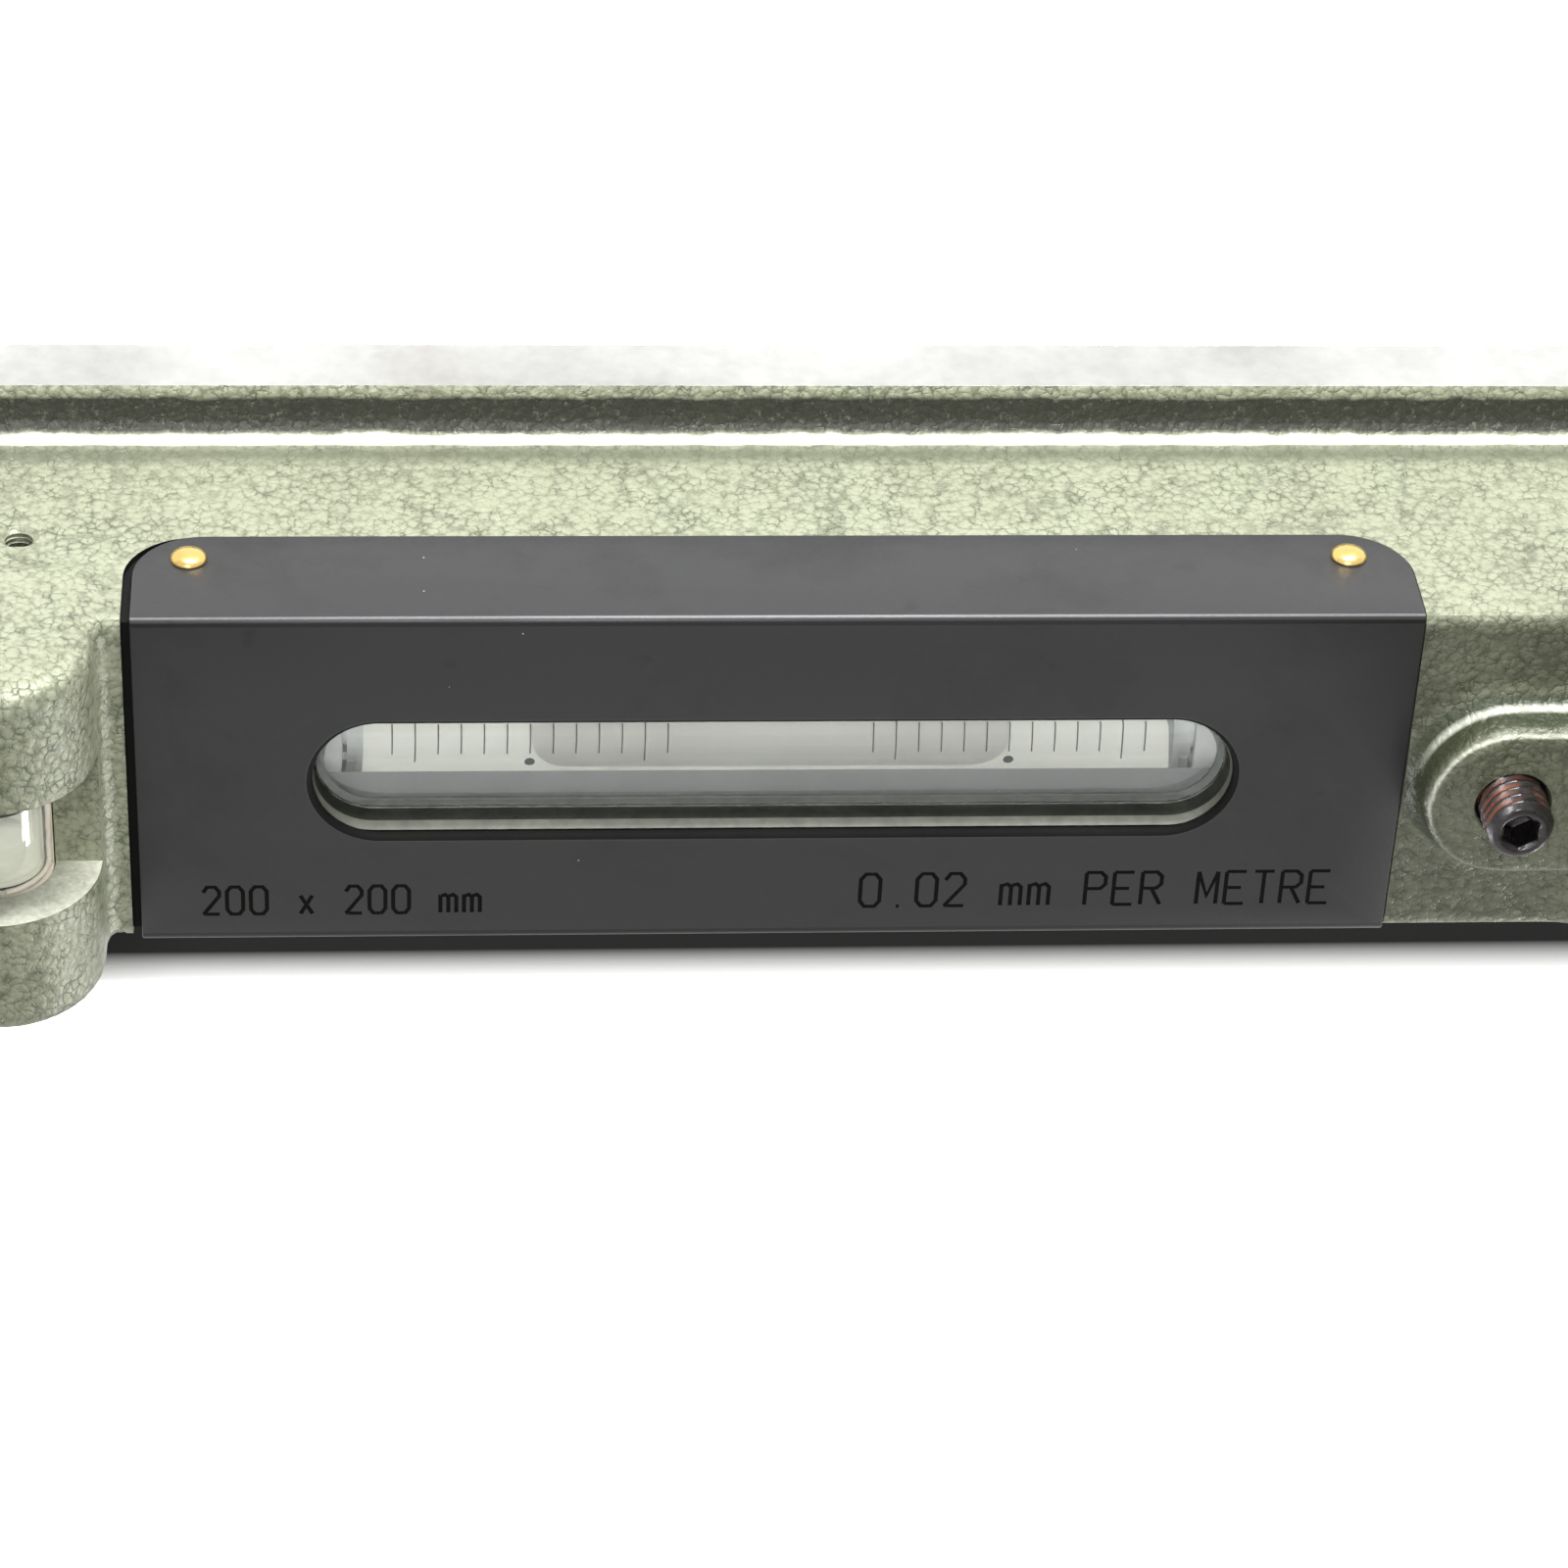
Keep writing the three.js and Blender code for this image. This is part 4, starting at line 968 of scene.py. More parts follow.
@dataclass
class Casting:
    """The cast frame: rims, web, boss and pad, then its machined faces, slot and bores.

    The boss is given by x, z and radius, the pad by x, half its width and its top, a vee by half its
    width, how far its mouth is outside the face and its depth, and the bore by its steps' radii and
    ends. Tools reach past the faces that they cut.
    """

    half: float = 100.0
    rim_half: float = 21.98
    rough_rim: float = 22.3
    web_half: float = 16.9
    rim: float = 7.6
    bar: float = 36.8
    upright: float = 22.0
    top_bar: float = 24.0
    opening_corner: float = 8.0
    opening_edge: float = 0.55
    allowance: float = 1.0
    voxel: float = 0.7
    boss: Triple = (67.4, 40.2, 9.0)
    pad: Triple = (-64.4, 7.8, 41.4)
    axis_height: float = 24.5
    past: float = 5.0
    vee: Triple = (12.464, 2.0, 5.2)
    relief: Pair = (7.0, 1.0)
    cover_seat: Pair = (-55.6, 56.25)
    seat_floor: float = 36.1
    seat_cheek: float = 16.3
    seat_foot: float = 24.1
    slot: Pair = (80.4, 10.4)
    bore: tuple = ((10.4, -90.4), (9.3, 56.0), (7.2, 72.0))
    pivot: Pair = (65.4, 23.8)
    notch: tuple = ((-11.0, 10.4), (-5.7, 6.0))
    cross_bore: Triple = (5.0, -9.5, 20.0)
    finishes: tuple[Finish, ...] = (
        Finish.PAINT,
        Finish.GROUND,
        Finish.BORE,
        Finish.SHADE,
        Finish.SLOT,
        Finish.MILLED,
        Finish.CUT,
        Finish.CHAMFER,
    )

    def square(self, inset: float, corner: float, steps: int = 8) -> Outline:
        """Returns the frame's outline, drawn in by a distance, with round corners."""
        sides, levels = (-self.half + inset, self.half - inset), (inset, 2 * self.half - inset)
        return rounded(sides, levels, corner, steps)

    def ring(self, depth: float, outer: float, x: Pair, z: Pair, corner: float) -> list[list[Point]]:
        """Rings of a square band round a hole, whose edges are rounded.

        Args:
            depth: Half its depth across the frame.
            outer: Inset of its outer sides.
            x: The hole's left and right sides.
            z: The hole's lower and upper sides.
            corner: Radius of the hole's corners.

        Returns:
            The rings, for skin() to close.
        """
        edge = self.opening_edge
        rings = stack(self.square(outer, 2.0), Axis.Y, [-depth, depth])
        for end, hand, shares in ((depth, -1, (0.0, 0.3, 0.7, 1.0)), (-depth, 1, (1.0, 0.7, 0.3, 0.0))):
            for share in shares:
                turn = math.pi / 2 * share
                grow = edge * (1 - math.sin(turn))
                inside = rounded((x[0] - grow, x[1] + grow), (z[0] - grow, z[1] + grow), corner + grow)
                rings += stack(inside, Axis.Y, [end + hand * edge * (1 - math.cos(turn))])
        return rings

    def boss_outline(self, inset: float) -> Outline:
        """The boss seen from the side.

        Args:
            inset: How far it is drawn in.

        Returns:
            The outline.
        """
        x, z, radius = self.boss
        radius -= inset
        low = self.bar - self.rim
        return [(x + radius, low)] + arc((x, z), radius, 0, 180, 36) + [(x - radius, low)]

    def pad_outline(self, grow: float) -> Outline:
        """The pad seen from above.

        Args:
            grow: How far it is let out.

        Returns:
            The outline.
        """
        x, radius, _ = self.pad
        radius += grow
        end = -self.half + self.upright - 5.5
        return [(end, -radius)] + arc((x, 0), radius, -90, 90, 36) + [(end, radius)]

    def cast(self) -> Piece:
        """Casts the frame, with the soft edges and fillets that a mould gives.

        Returns:
            The raw casting.
        """
        half, rim = self.half, self.rim
        within = ((-half + rim, half - rim), (rim, 2 * half - rim))
        opening = ((-half + self.upright, half - self.upright), (self.bar, 2 * half - self.top_bar))
        body = skin("frame", self.ring(self.rough_rim, -self.allowance, *within, 3.0), True)
        tools = [skin("web", self.ring(self.web_half, 3.0, *opening, self.opening_corner), True)]
        for grow, high in ((1.15, 0.2), (0.6, 0.55), (0.22, 1.2)):
            tools.append(self.rim_fillet(rim + grow, self.web_half + high))
        x, z, _ = self.boss
        low, end, top = self.bar - rim, self.web_half + 0.5, self.pad[2]
        root = rounded((x, opening[0][1] + 5.5), (low, z), 0.2, 1)
        tools.append(prism("root", root, Axis.Y, -self.web_half, self.web_half))
        tools.append(soft_prism("boss", self.boss_outline, Axis.Y, -end, end + 0.6, 1.6))
        skirt = [(1.5, low), (1.5, 36.85), (0.95, 37.1), (0.45, 37.6), (0.1, 38.4), (0.0, top - 0.9)]
        crown = [(-0.12, top - 0.4), (-0.4, top - 0.12), (-0.9, top)]
        tools.append(loft("pad", self.pad_outline, Axis.Z, skirt + crown))
        for tool in tools:
            carve(body, tool, Cut.JOIN)
        modify(body, "REMESH", mode="VOXEL", voxel_size=self.voxel * MM)
        modify(body, "SMOOTH", factor=0.5, iterations=2)
        return body

    def rim_fillet(self, inset: float, reach: float) -> Piece:
        """One step of the fillet between rim and web, on both sides.

        Args:
            inset: How far inside the frame's outer faces it ends.
            reach: Half its depth across the frame.

        Returns:
            The new object.
        """
        outside, inside = self.square(3.0, 2.0), self.square(inset, 3.0)
        rings = stack(outside, Axis.Y, [-reach, reach]) + stack(inside, Axis.Y, [reach, -reach])
        return skin("fillet", rings, True)

    def machine(self, body: Piece) -> None:
        """Grinds the working faces and cuts the grooves, the cover's seat, the slot and the bores.

        Args:
            body: The raw casting.
        """
        front, back = -self.rim_half, self.rim_half
        carve(body, soft_prism("envelope", self.envelope, Axis.Y, front, back, 0.4, 3), Cut.KEEP)
        for tool in self.grooves() + self.seats() + self.holes():
            carve(body, tool)

    def envelope(self, inset: float) -> Outline:
        """Returns the outline of the ground faces, drawn in by a distance."""
        return self.square(inset, 0.8 - inset, 4)

    def grooves(self) -> list[Piece]:
        """Tools of the vees and of the reliefs in the two plain faces.

        Returns:
            The tools.
        """
        half, side, past = self.half, 2 * self.half, self.past
        wide, over, deep = self.vee
        relief, into = self.relief
        across, upright = (-half - past, half + past), (-past, side + past)
        base = [(-wide, -over), (wide, -over), (0, deep)]
        flank = [(half + over, -wide), (half + over, wide), (half - deep, 0)]
        top = rounded((-relief, relief), (side - into, side + past), 0.3, 2)
        left = rounded((-half - past, -half + into), (-relief, relief), 0.3, 2)
        return [
            prism("vee", base, Axis.X, *across),
            prism("vee", flank, Axis.Z, *upright),
            prism("relief", top, Axis.X, *across),
            prism("relief", left, Axis.Z, *upright),
        ]

    def seats(self) -> list[Piece]:
        """Tools of the cover's seat, on the top and down both sides.

        Returns:
            The tools.
        """
        low, high = self.cover_seat
        top, out = 39.0, 20.0
        floor = rounded((low, high), (-out, out), 0.1, 1)
        cheek = self.cheek(low, high, self.seat_foot, top)
        return [
            prism("seat", floor, Axis.Z, self.seat_floor, top),
            prism("cheek", cheek, Axis.Y, -out, -self.seat_cheek),
            prism("cheek", cheek, Axis.Y, self.seat_cheek, out),
        ]

    def holes(self) -> list[Piece]:
        """Tools of the window slot, the bores, the tapped holes and the boss's notch.

        Returns:
            The tools.
        """
        mouth = ((0, 32.65), (0, 35.5), (0.25, 35.62), (0.48, 35.85), (0.6, 36.1), (0.6, 38))
        at = -self.half - self.past
        bore = [(0, at)]
        for radius, end in self.bore:
            bore += [(radius, at), (radius, end)]
            at = end
        bore.append((0, at))
        x, top = self.pad[0], self.pad[2]
        tap = [(0, 24.5), (3.2, 24.5), (3.2, top - 0.5), (3.5, top + 0.1), (3.5, 46), (0, 46)]
        pocket = [(0, 9.5), (3.1, 9.5), (3.1, 25), (0, 25)]
        boss_x, boss_z, _ = self.boss
        (left, right), depth = self.notch
        notch = rounded((boss_x + left, boss_x + right), depth, 0.5, 3)
        radius, front, back = self.cross_bore
        cross = [(0, front), (radius, front), (radius, back), (0, back)]
        return [
            loft("slot", lambda grow: stadium(*self.slot, grow), Axis.Z, mouth),
            turned("bore", bore, Axis.X, (0, self.axis_height), 72),
            self.tapped("pivot_tap", *self.pivot),
            turned("screw_hole", tap, Axis.Z, (x, 0), 48),
            turned("pocket", pocket, Axis.Z, (x, 0), 32),
            prism("notch", notch, Axis.Z, boss_z - 0.2, boss_z + 12),
            turned("cross_bore", cross, Axis.Y, (boss_x, boss_z), 64),
        ]

    def cheek(self, low: float, high: float, foot: float, head: float) -> Outline:
        """The cover's flap, with round lower corners.

        Args:
            low: Its left end.
            high: Its right end.
            foot: Its lower edge.
            head: Its upper edge.

        Returns:
            The outline.
        """
        radius = 6.0
        lower = arc((low + radius, foot + radius), radius, 180, 270, 12)
        lower += arc((high - radius, foot + radius), radius, -90, 0, 12)
        return lower + [(high, head), (low, head)]

    def tapped(self, name: str, x: float, z: float) -> Piece:
        """The tool of a small tapped hole right across the bar, with its thread's rings.

        Args:
            name: Its name.
            x: Its place along the bar.
            z: Its height.

        Returns:
            The new object.
        """
        pitch, wide, narrow, reach, mouth = 0.5, 1.5, 1.22, 19.0, -self.web_half
        profile = [(0, -reach), (1.75, -reach), (1.75, mouth + 0.02), (narrow, mouth + 0.5)]
        place = mouth + 0.5
        while place < -10.0:
            profile += [(wide, place + 0.2), (wide, place + 0.26), (narrow, place + 0.46)]
            place += pitch
        return turned(name, profile + mirrored(profile[::-1], -1), Axis.Y, (x, z), 32)

    def finish_of(self, centre: Vector, normal: Vector) -> Finish:
        """Chooses the finish of one face of the casting.

        Args:
            centre: The face's middle, in metres.
            normal: Its direction.

        Returns:
            The finish.
        """
        x, y, z = (value / MM for value in centre)
        side, low, cheek = 2 * self.half, self.seat_floor, self.seat_cheek
        outer = max(abs(x) - self.half, -z, z - side, abs(y) - self.rim_half) > -0.3
        vee = abs(y) < 9.05 and (z < 5.3 or x > self.half - 5.3)
        relief = abs(y) < 7.05 and (z > side - 1.05 or x < -self.half + 1.05)
        if outer or vee or relief:
            milled = abs(normal.y) > 0.9 and abs(y) > self.rim_half - 0.3
            return Finish.MILLED if milled else Finish.GROUND
        radial = Vector((0, y, z - self.axis_height))
        main_bore = radial.length < 10.6 and x < 72.1 and normal.dot(radial.normalized()) < -0.8
        screw_hole = math.hypot(x - self.pad[0], y) < 3.5 and abs(normal.z) < 0.3
        if main_bore or screw_hole and z < self.pad[2] - 0.5:
            return Finish.BORE
        # The notch's front-facing wall gets the pale cut face, partly a painted highlight.
        above = abs(x - self.boss[0]) < 10 and z > self.boss[1] - 0.3
        if normal.y < -0.9 and abs(y - self.notch[1][1]) < 0.1 and above:
            return Finish.CUT
        within = self.cover_seat[0] - 0.02 < x < self.cover_seat[1] + 0.02
        flat = abs(z - low) < 0.02 or abs(abs(y) - cheek) < 0.02
        # The slot's walls below the chamfer get painted shade.
        if within and abs(y) < 5.85 and z > 32.6 and not flat:
            return Finish.SLOT if z < 35.5 else Finish.CHAMFER
        # The cover seat's floor and end walls get painted shade.
        wall = abs(normal.x) > 0.3 and (z > low - 0.1 or abs(y) > cheek - 0.1)
        return Finish.SHADE if within and (flat or wall) else Finish.PAINT

    def build(self) -> None:
        """Makes the casting and fixes it to the frame."""
        body = self.cast()
        self.machine(body)
        modify(body, "DECIMATE", decimate_type="DISSOLVE", angle_limit=math.radians(0.6))
        dress(body, *self.finishes)
        for face in body.data.polygons:
            face.material_index = self.finishes.index(self.finish_of(face.center, face.normal))
        smooth(body, 34)
        modify(body, "WEIGHTED_NORMAL", keep_sharp=True)
        body.name = "frame_body"
        seat(body, "frame", "hammer_paint", "frame_casting")


@dataclass
class Lettering:
    """Plain measuring words cut in single strokes with a round graver."""

    strokes: dict = field(
        default_factory=lambda: {
            "0": [[(1, 0), (3, 0), (4, 1), (4, 5), (3, 6), (1, 6), (0, 5), (0, 1), (1, 0)]],
            "2": [[(0, 4.8), (1, 6), (3, 6), (4, 5), (4, 4), (0, 0)], [(0, 0), (4, 0)]],
            ".": [[(1.7, 0), (2.3, 0)]],
            "x": [[(0.5, 0), (3.5, 4)], [(0.5, 4), (3.5, 0)]],
            "m": [
                [(0, 0), (0, 4)],
                [(0, 3.6), (1.2, 4), (2, 3.4), (2, 0)],
                [(2, 3.6), (3.2, 4), (4, 3.4), (4, 0)],
            ],
            "M": [[(0, 0), (0, 6)], [(0, 6), (2, 1.5), (4, 6)], [(4, 6), (4, 0)]],
            "P": [[(0, 0), (0, 6)], [(0, 6), (3, 6), (4, 5.2), (4, 3.8), (3, 3), (0, 3)]],
            "E": [[(4, 6), (0, 6)], [(0, 6), (0, 0)], [(0, 0), (4, 0)], [(0, 3), (3.2, 3)]],
            "R": [[(0, 0), (0, 6)], [(0, 6), (3, 6), (4, 5.2), (4, 3.8), (3, 3), (0, 3)], [(2, 3), (4, 0)]],
            "T": [[(0, 6), (4, 6)], [(2, 6), (2, 0)]],
        }
    )
    grid: Pair = (4, 6)
    radius: float = 0.2
    lift: float = 0.055

    def cut(self, sheet: Piece, face: float, lines: Sequence[Sequence]) -> None:
        """Cuts lines of words into a flat face.

        Args:
            sheet: The piece that is cut.
            face: Height of its face.
            lines: Words, first corner, letter height, letter width and advance of each line.
        """
        layers: dict[int, list] = {}
        for words, (start, base), height, width, advance in lines:
            for place, letter in enumerate(words):
                for layer, stroke in enumerate(self.strokes.get(letter, [])):
                    path = []
                    for u, v in stroke:
                        x = start - place * advance - u / self.grid[0] * width
                        path.append((x, base - v / self.grid[1] * height, face + self.lift))
                    layers.setdefault(layer, []).append(path)
        for layer in sorted(layers):
            tools = []
            for path in layers[layer]:
                closed = path[0] == path[-1]
                path = path[:-1] if closed else path
                tools.append(sweep("stroke", path, lambda share: self.radius, 12, closed))
            carve(sheet, merge(tools))


@dataclass
class Cover:
    """The folded cover with its lipped window and words, its pins and the pane below it."""

    half_length: float = 55.45
    half_width: float = 17.2
    top: float = 37.0
    sheet: float = 0.8
    fold: float = 0.6
    foot: float = 24.3
    window: Pair = (80.6, 11.8)
    lip: float = 0.8
    pin: Pair = (50.4, 27.9)
    pin_radius: float = 1.6
    pin_lip: float = 0.08
    pin_dome: float = 0.76
    pane: Pair = (80.0, 10.0)
    pane_at: Pair = (33.2, 34.1)
    words: tuple = (
        ("200 x 200 mm", (50.0, 14.3), 3.0, 1.4, 2.08),
        ("0.02 mm PER METRE", (-8.0, 14.0), 3.6, 1.75, 2.52),
    )

    def section(self) -> Outline:
        """The channel seen from its end.

        Returns:
            The outline.
        """
        half, top, fold, foot = self.half_width, self.top, self.fold, self.foot
        inside, under = half - self.sheet, top - self.sheet
        points = [(half, foot)] + arc((half - fold, top - fold), fold, 0, 90, 8)
        points += arc((-half + fold, top - fold), fold, 90, 180, 8) + [(-half, foot)]
        return points + [(-inside, foot), (-inside, under), (inside, under), (inside, foot)]

    def opening(self) -> Piece:
        """The tool that cuts the window and its rounded lip.

        Returns:
            The new object.
        """
        levels = [(0, self.top - 2)]
        for share in (0, 0.25, 0.5, 0.75, 1):
            turn = math.pi / 2 * share
            levels.append((self.lip * (1 - math.cos(turn)), self.top - self.lip * (1 - math.sin(turn))))
        levels.append((self.lip, self.top + 2))
        return loft("window", lambda grow: stadium(*self.window, grow), Axis.Z, levels)

    def build(self) -> None:
        """Makes the cover, its pins and the pane."""
        half = self.half_length
        sheet = prism("cover_sheet", self.section(), Axis.X, -half, half)
        flap = Casting().cheek(-half, half, self.foot, 40.0)
        carve(sheet, prism("flap", flap, Axis.Y, -20, 20), Cut.KEEP)
        round_edges(sheet, 0.12)
        carve(sheet, self.opening())
        Lettering().cut(sheet, self.top, self.words)
        smooth(sheet, 30)
        dress(sheet, Finish.COVER, Finish.SHADE)
        # The cut letters' walls and the window's rounded lip get painted shade.
        for face in sheet.data.polygons:
            x, y, z = (value / MM for value in face.center)
            carved = z > 36.5 and 10 < y < 15 and face.normal.z < 0.97
            lip = 36.15 < z < 36.96 and abs(y) < 7.0 and abs(x) < 48
            face.material_index = int(carved or lip)
        seat(sheet, "frame", "cover_black", "vial_cover")
        for hand_y, face in ((-1, "front"), (1, "back")):
            for hand_x, end in ((-1, "left"), (1, "right")):
                self.drive_pin(hand_x, hand_y, f"{face}_{end}")
        low, high = self.pane_at
        pane = soft_prism(
            "window_pane", lambda inset: stadium(*self.pane, -inset), Axis.Z, low, high, 0.12, 3
        )
        fit(pane, 50, Finish.PANE, "frame", "clear_glass", "window_glass")
        repaint("window_seal", Finish.PUTTY)

    def drive_pin(self, hand_x: int, hand_y: int, name: str) -> None:
        """Makes one domed pin head with its shank.

        Args:
            hand_x: -1 for the left end, 1 for the right.
            hand_y: -1 for the front, 1 for the back.
            name: The pin's place in words.
        """
        base, radius = self.half_width + 0.02, self.pin_radius
        profile = [(0, base - 5.6), (0.4, base - 5.5), (0.85, base - 4.9), (0.85, base)]
        profile += [(radius - 0.1, base), (radius, base + self.pin_lip)]
        for share in (0.15, 0.3, 0.45, 0.6, 0.75, 0.9, 1.0):
            turn = math.pi / 2 * share
            profile.append((radius * math.cos(turn), base + self.pin_lip + self.pin_dome * math.sin(turn)))
        at = (hand_x * self.pin[0] + 0.3, self.pin[1])
        pin = turned(f"pin_{name}", mirrored(profile, hand_y), Axis.Y, at, 40)
        fit(pin, 50, Finish.BRASS, "frame", "pin_brass", f"cover_pin_{name}")


def bubble(name: str, axis: Axis, centre: Pair, along: Pair, size: Triple, steps: int) -> Piece:
    """A bubble, round against the glass above it and hollow-bellied below.

    Args:
        name: The piece's name.
        axis: The axis that it lies along.
        centre: Where the vial's axis passes, across it.
        along: Its middle and half its length.
        size: Radius of the glass above it, half its width and the depth of its belly.
        steps: Rings along it.

    Returns:
        The new object.
    """
    middle, half = along
    roof, wide, belly = size
    rings = []
    for step in range(steps + 1):
        place = -math.cos(math.pi * step / steps) * half
        past = max(0.0, abs(place) - (half - wide)) / wide
        width = max(wide * math.sqrt(max(0.0, 1 - past * past)), 0.02)
        edge = math.sqrt(roof * roof - width * width)
        upper, lower = [], []
        for share in range(-8, 9):
            across = width * share / 8
            over = math.sqrt(roof * roof - across * across)
            under = edge - belly * (width / wide) * (1 - (share / 8) ** 2)
            for side, height in ((upper, over), (lower, under)):
                side.append(axis.lay(centre[0] + across, centre[1] + height, middle + place))
        rings.append(upper + lower[-2:0:-1])
    return skin(name, rings)


@dataclass
class MainVial:
    """The graduated vial with its spirit and bubble, bedded in the white-lined holder."""

    axis_height: float = 24.5
    radius: float = 6.5
    chamber: float = 5.3
    chamber_half: float = 36.0
    glass_half: float = 37.3
    bubble_half: float = 21.0
    bubble_width: float = 3.2
    belly: float = 0.75
    holder_radius: float = 8.5
    lining_radius: float = 6.56
    flat: float = 5.6
    pocket_half: float = 40.5
    first: float = 9.0
    pitch: float = 2.0
    lines: int = 13
    long_lines: tuple[int, ...] = (1, 11)
    dotted: int = 6
    shift: float = 0.09

    def build(self) -> None:
        """Makes the vial, what it holds and the holder."""
        at = (0, self.axis_height)
        inner, outer, half = self.chamber, self.radius, self.glass_half
        tube = [(inner, -half), (outer - 0.3, -half), (outer, -half + 0.3)]
        tube += [(outer, half - 0.3), (outer - 0.3, half), (inner, half)]
        glass = turned("vial_glass", tube, Axis.X, at, 96, True)
        fit(glass, 40, Finish.GLASS, "vial_holder", "clear_glass", "main_vial_glass")
        fill, end = inner + 0.02, self.chamber_half + 0.1
        profile = [(0, -end), (fill, -end), (fill, end), (0, end)]
        spirit = turned("vial_spirit", profile, Axis.X, at, 96)
        fit(spirit, 40, Finish.SPIRIT, "vial_holder", "vial_liquid", "main_vial_liquid")
        disc = [(0, end - 0.06), (4.85, end - 0.06), (5.12, end - 0.2), (5.25, end - 0.5)]
        disc += [(5.27, end - 0.6), (5.27, half), (5.6, half + 0.05), (0, half + 0.05)]
        bed = [(0, 37.36), (6.45, 37.36), (6.55, 37.46), (6.55, 43.2), (6.2, 43.4), (0, 43.4)]
        for hand, name, nodes in ((-1, "left", []), (1, "right", ["main_vial_stopper"])):
            seal = turned(f"vial_end_{name}", mirrored(disc, hand), Axis.X, at, 64)
            fit(seal, 40, Finish.SEALANT, "vial_holder", "clear_glass", *nodes)
            plaster = turned(f"bed_{name}", mirrored(bed, hand), Axis.X, at, 64)
            fit(plaster, 40, Finish.PLASTER, "vial_holder", "cement", f"main_vial_bed_{name}")
        size = (inner - 0.05, self.bubble_width, self.belly)
        gas = bubble("vial_bubble", Axis.X, at, (0, self.bubble_half), size, 40)
        fit(gas, 60, Finish.VAPOUR, "main_bubble", "bubble_gas", "main_bubble")
        self.graduations()
        self.holder()

    def graduations(self) -> None:
        """Makes the scale: thirteen lines at each end, two longer and one with a dot."""
        marks = []
        for hand in (-1, 1):
            for step in range(self.lines):
                x = hand * (self.first + self.pitch * step) + self.shift
                marks.append(self.mark(x, 19.5 if step in self.long_lines else 11.5, 0.06))
                if step == self.dotted:
                    marks.append(self.dot(x, 20.0, 0.46))
        scale = merge(marks)
        scale.name = "vial_scale"
        dress(scale, Finish.INK)
        seat(scale, "vial_holder", "black_steel")

    def on_glass(self, x: float, turn: float, lift: float) -> Point:
        """Returns a point over the glass, an angle from its top and a little off its surface."""
        reach = self.radius + lift
        return (x, reach * math.sin(turn), self.axis_height + reach * math.cos(turn))

    def mark(self, x: float, swing: float, half_width: float) -> Piece:
        """A line round the top of the glass.

        Args:
            x: Its place along the vial.
            swing: How far it reaches down on both sides, in degrees.
            half_width: Half its width.

        Returns:
            The new object.
        """
        corners = ((-1, -0.01), (1, -0.01), (1, 0.02), (-1, 0.02))
        rings = []
        for step in range(13):
            turn = math.radians(-swing + 2 * swing * step / 12)
            rings.append([self.on_glass(x + side * half_width, turn, lift) for side, lift in corners])
        return skin("mark", rings)

    def dot(self, x: float, swing: float, radius: float) -> Piece:
        """The dot at the end of the middle line, laid on the round glass.

        Args:
            x: Its place along the vial.
            swing: Its angle from the top, in degrees.
            radius: Its radius.

        Returns:
            The new object.
        """
        rings = []
        for lift, shrink in ((-0.01, 1.0), (0.02, 1.0), (0.025, 0.02)):
            ring = []
            for u, v in circle(radius * shrink, 20):
                ring.append(self.on_glass(x + u, math.radians(swing) + v / self.radius, lift))
            rings.append(ring)
        return skin("dot", rings)

    def holder(self) -> None:
        """Makes the tube that carries the vial, milled open above it and white inside."""
        outer, inner = self.holder_radius, self.lining_radius
        tube = [(inner, -50), (outer - 0.3, -50), (outer, -49.7)]
        tube += [(outer, 49.7), (outer - 0.3, 50), (inner, 50)]
        tube = turned("holder_tube", tube, Axis.X, (0, self.axis_height), 96, True)
        pocket = rounded((-self.pocket_half, self.pocket_half), (-12, 12), 1.2, 6)
        level = self.axis_height + self.flat
        carve(tube, prism("pocket", pocket, Axis.Z, level, level + 10))
        dress(tube, Finish.HOLDER, Finish.LINING)
        for face in tube.data.polygons:
            y, z = face.center.y / MM, face.center.z / MM
            reach = math.hypot(y, z - self.axis_height)
            face.material_index = int(abs(reach - inner) < 0.12 and z < level - 0.01)
        smooth(tube, 35)
        seat(tube, "vial_holder", "holder_steel", "vial_holder_tube")
        for node in ("adjusting_lug", "pivot_lug"):
            repaint(node, Finish.HOLDER)


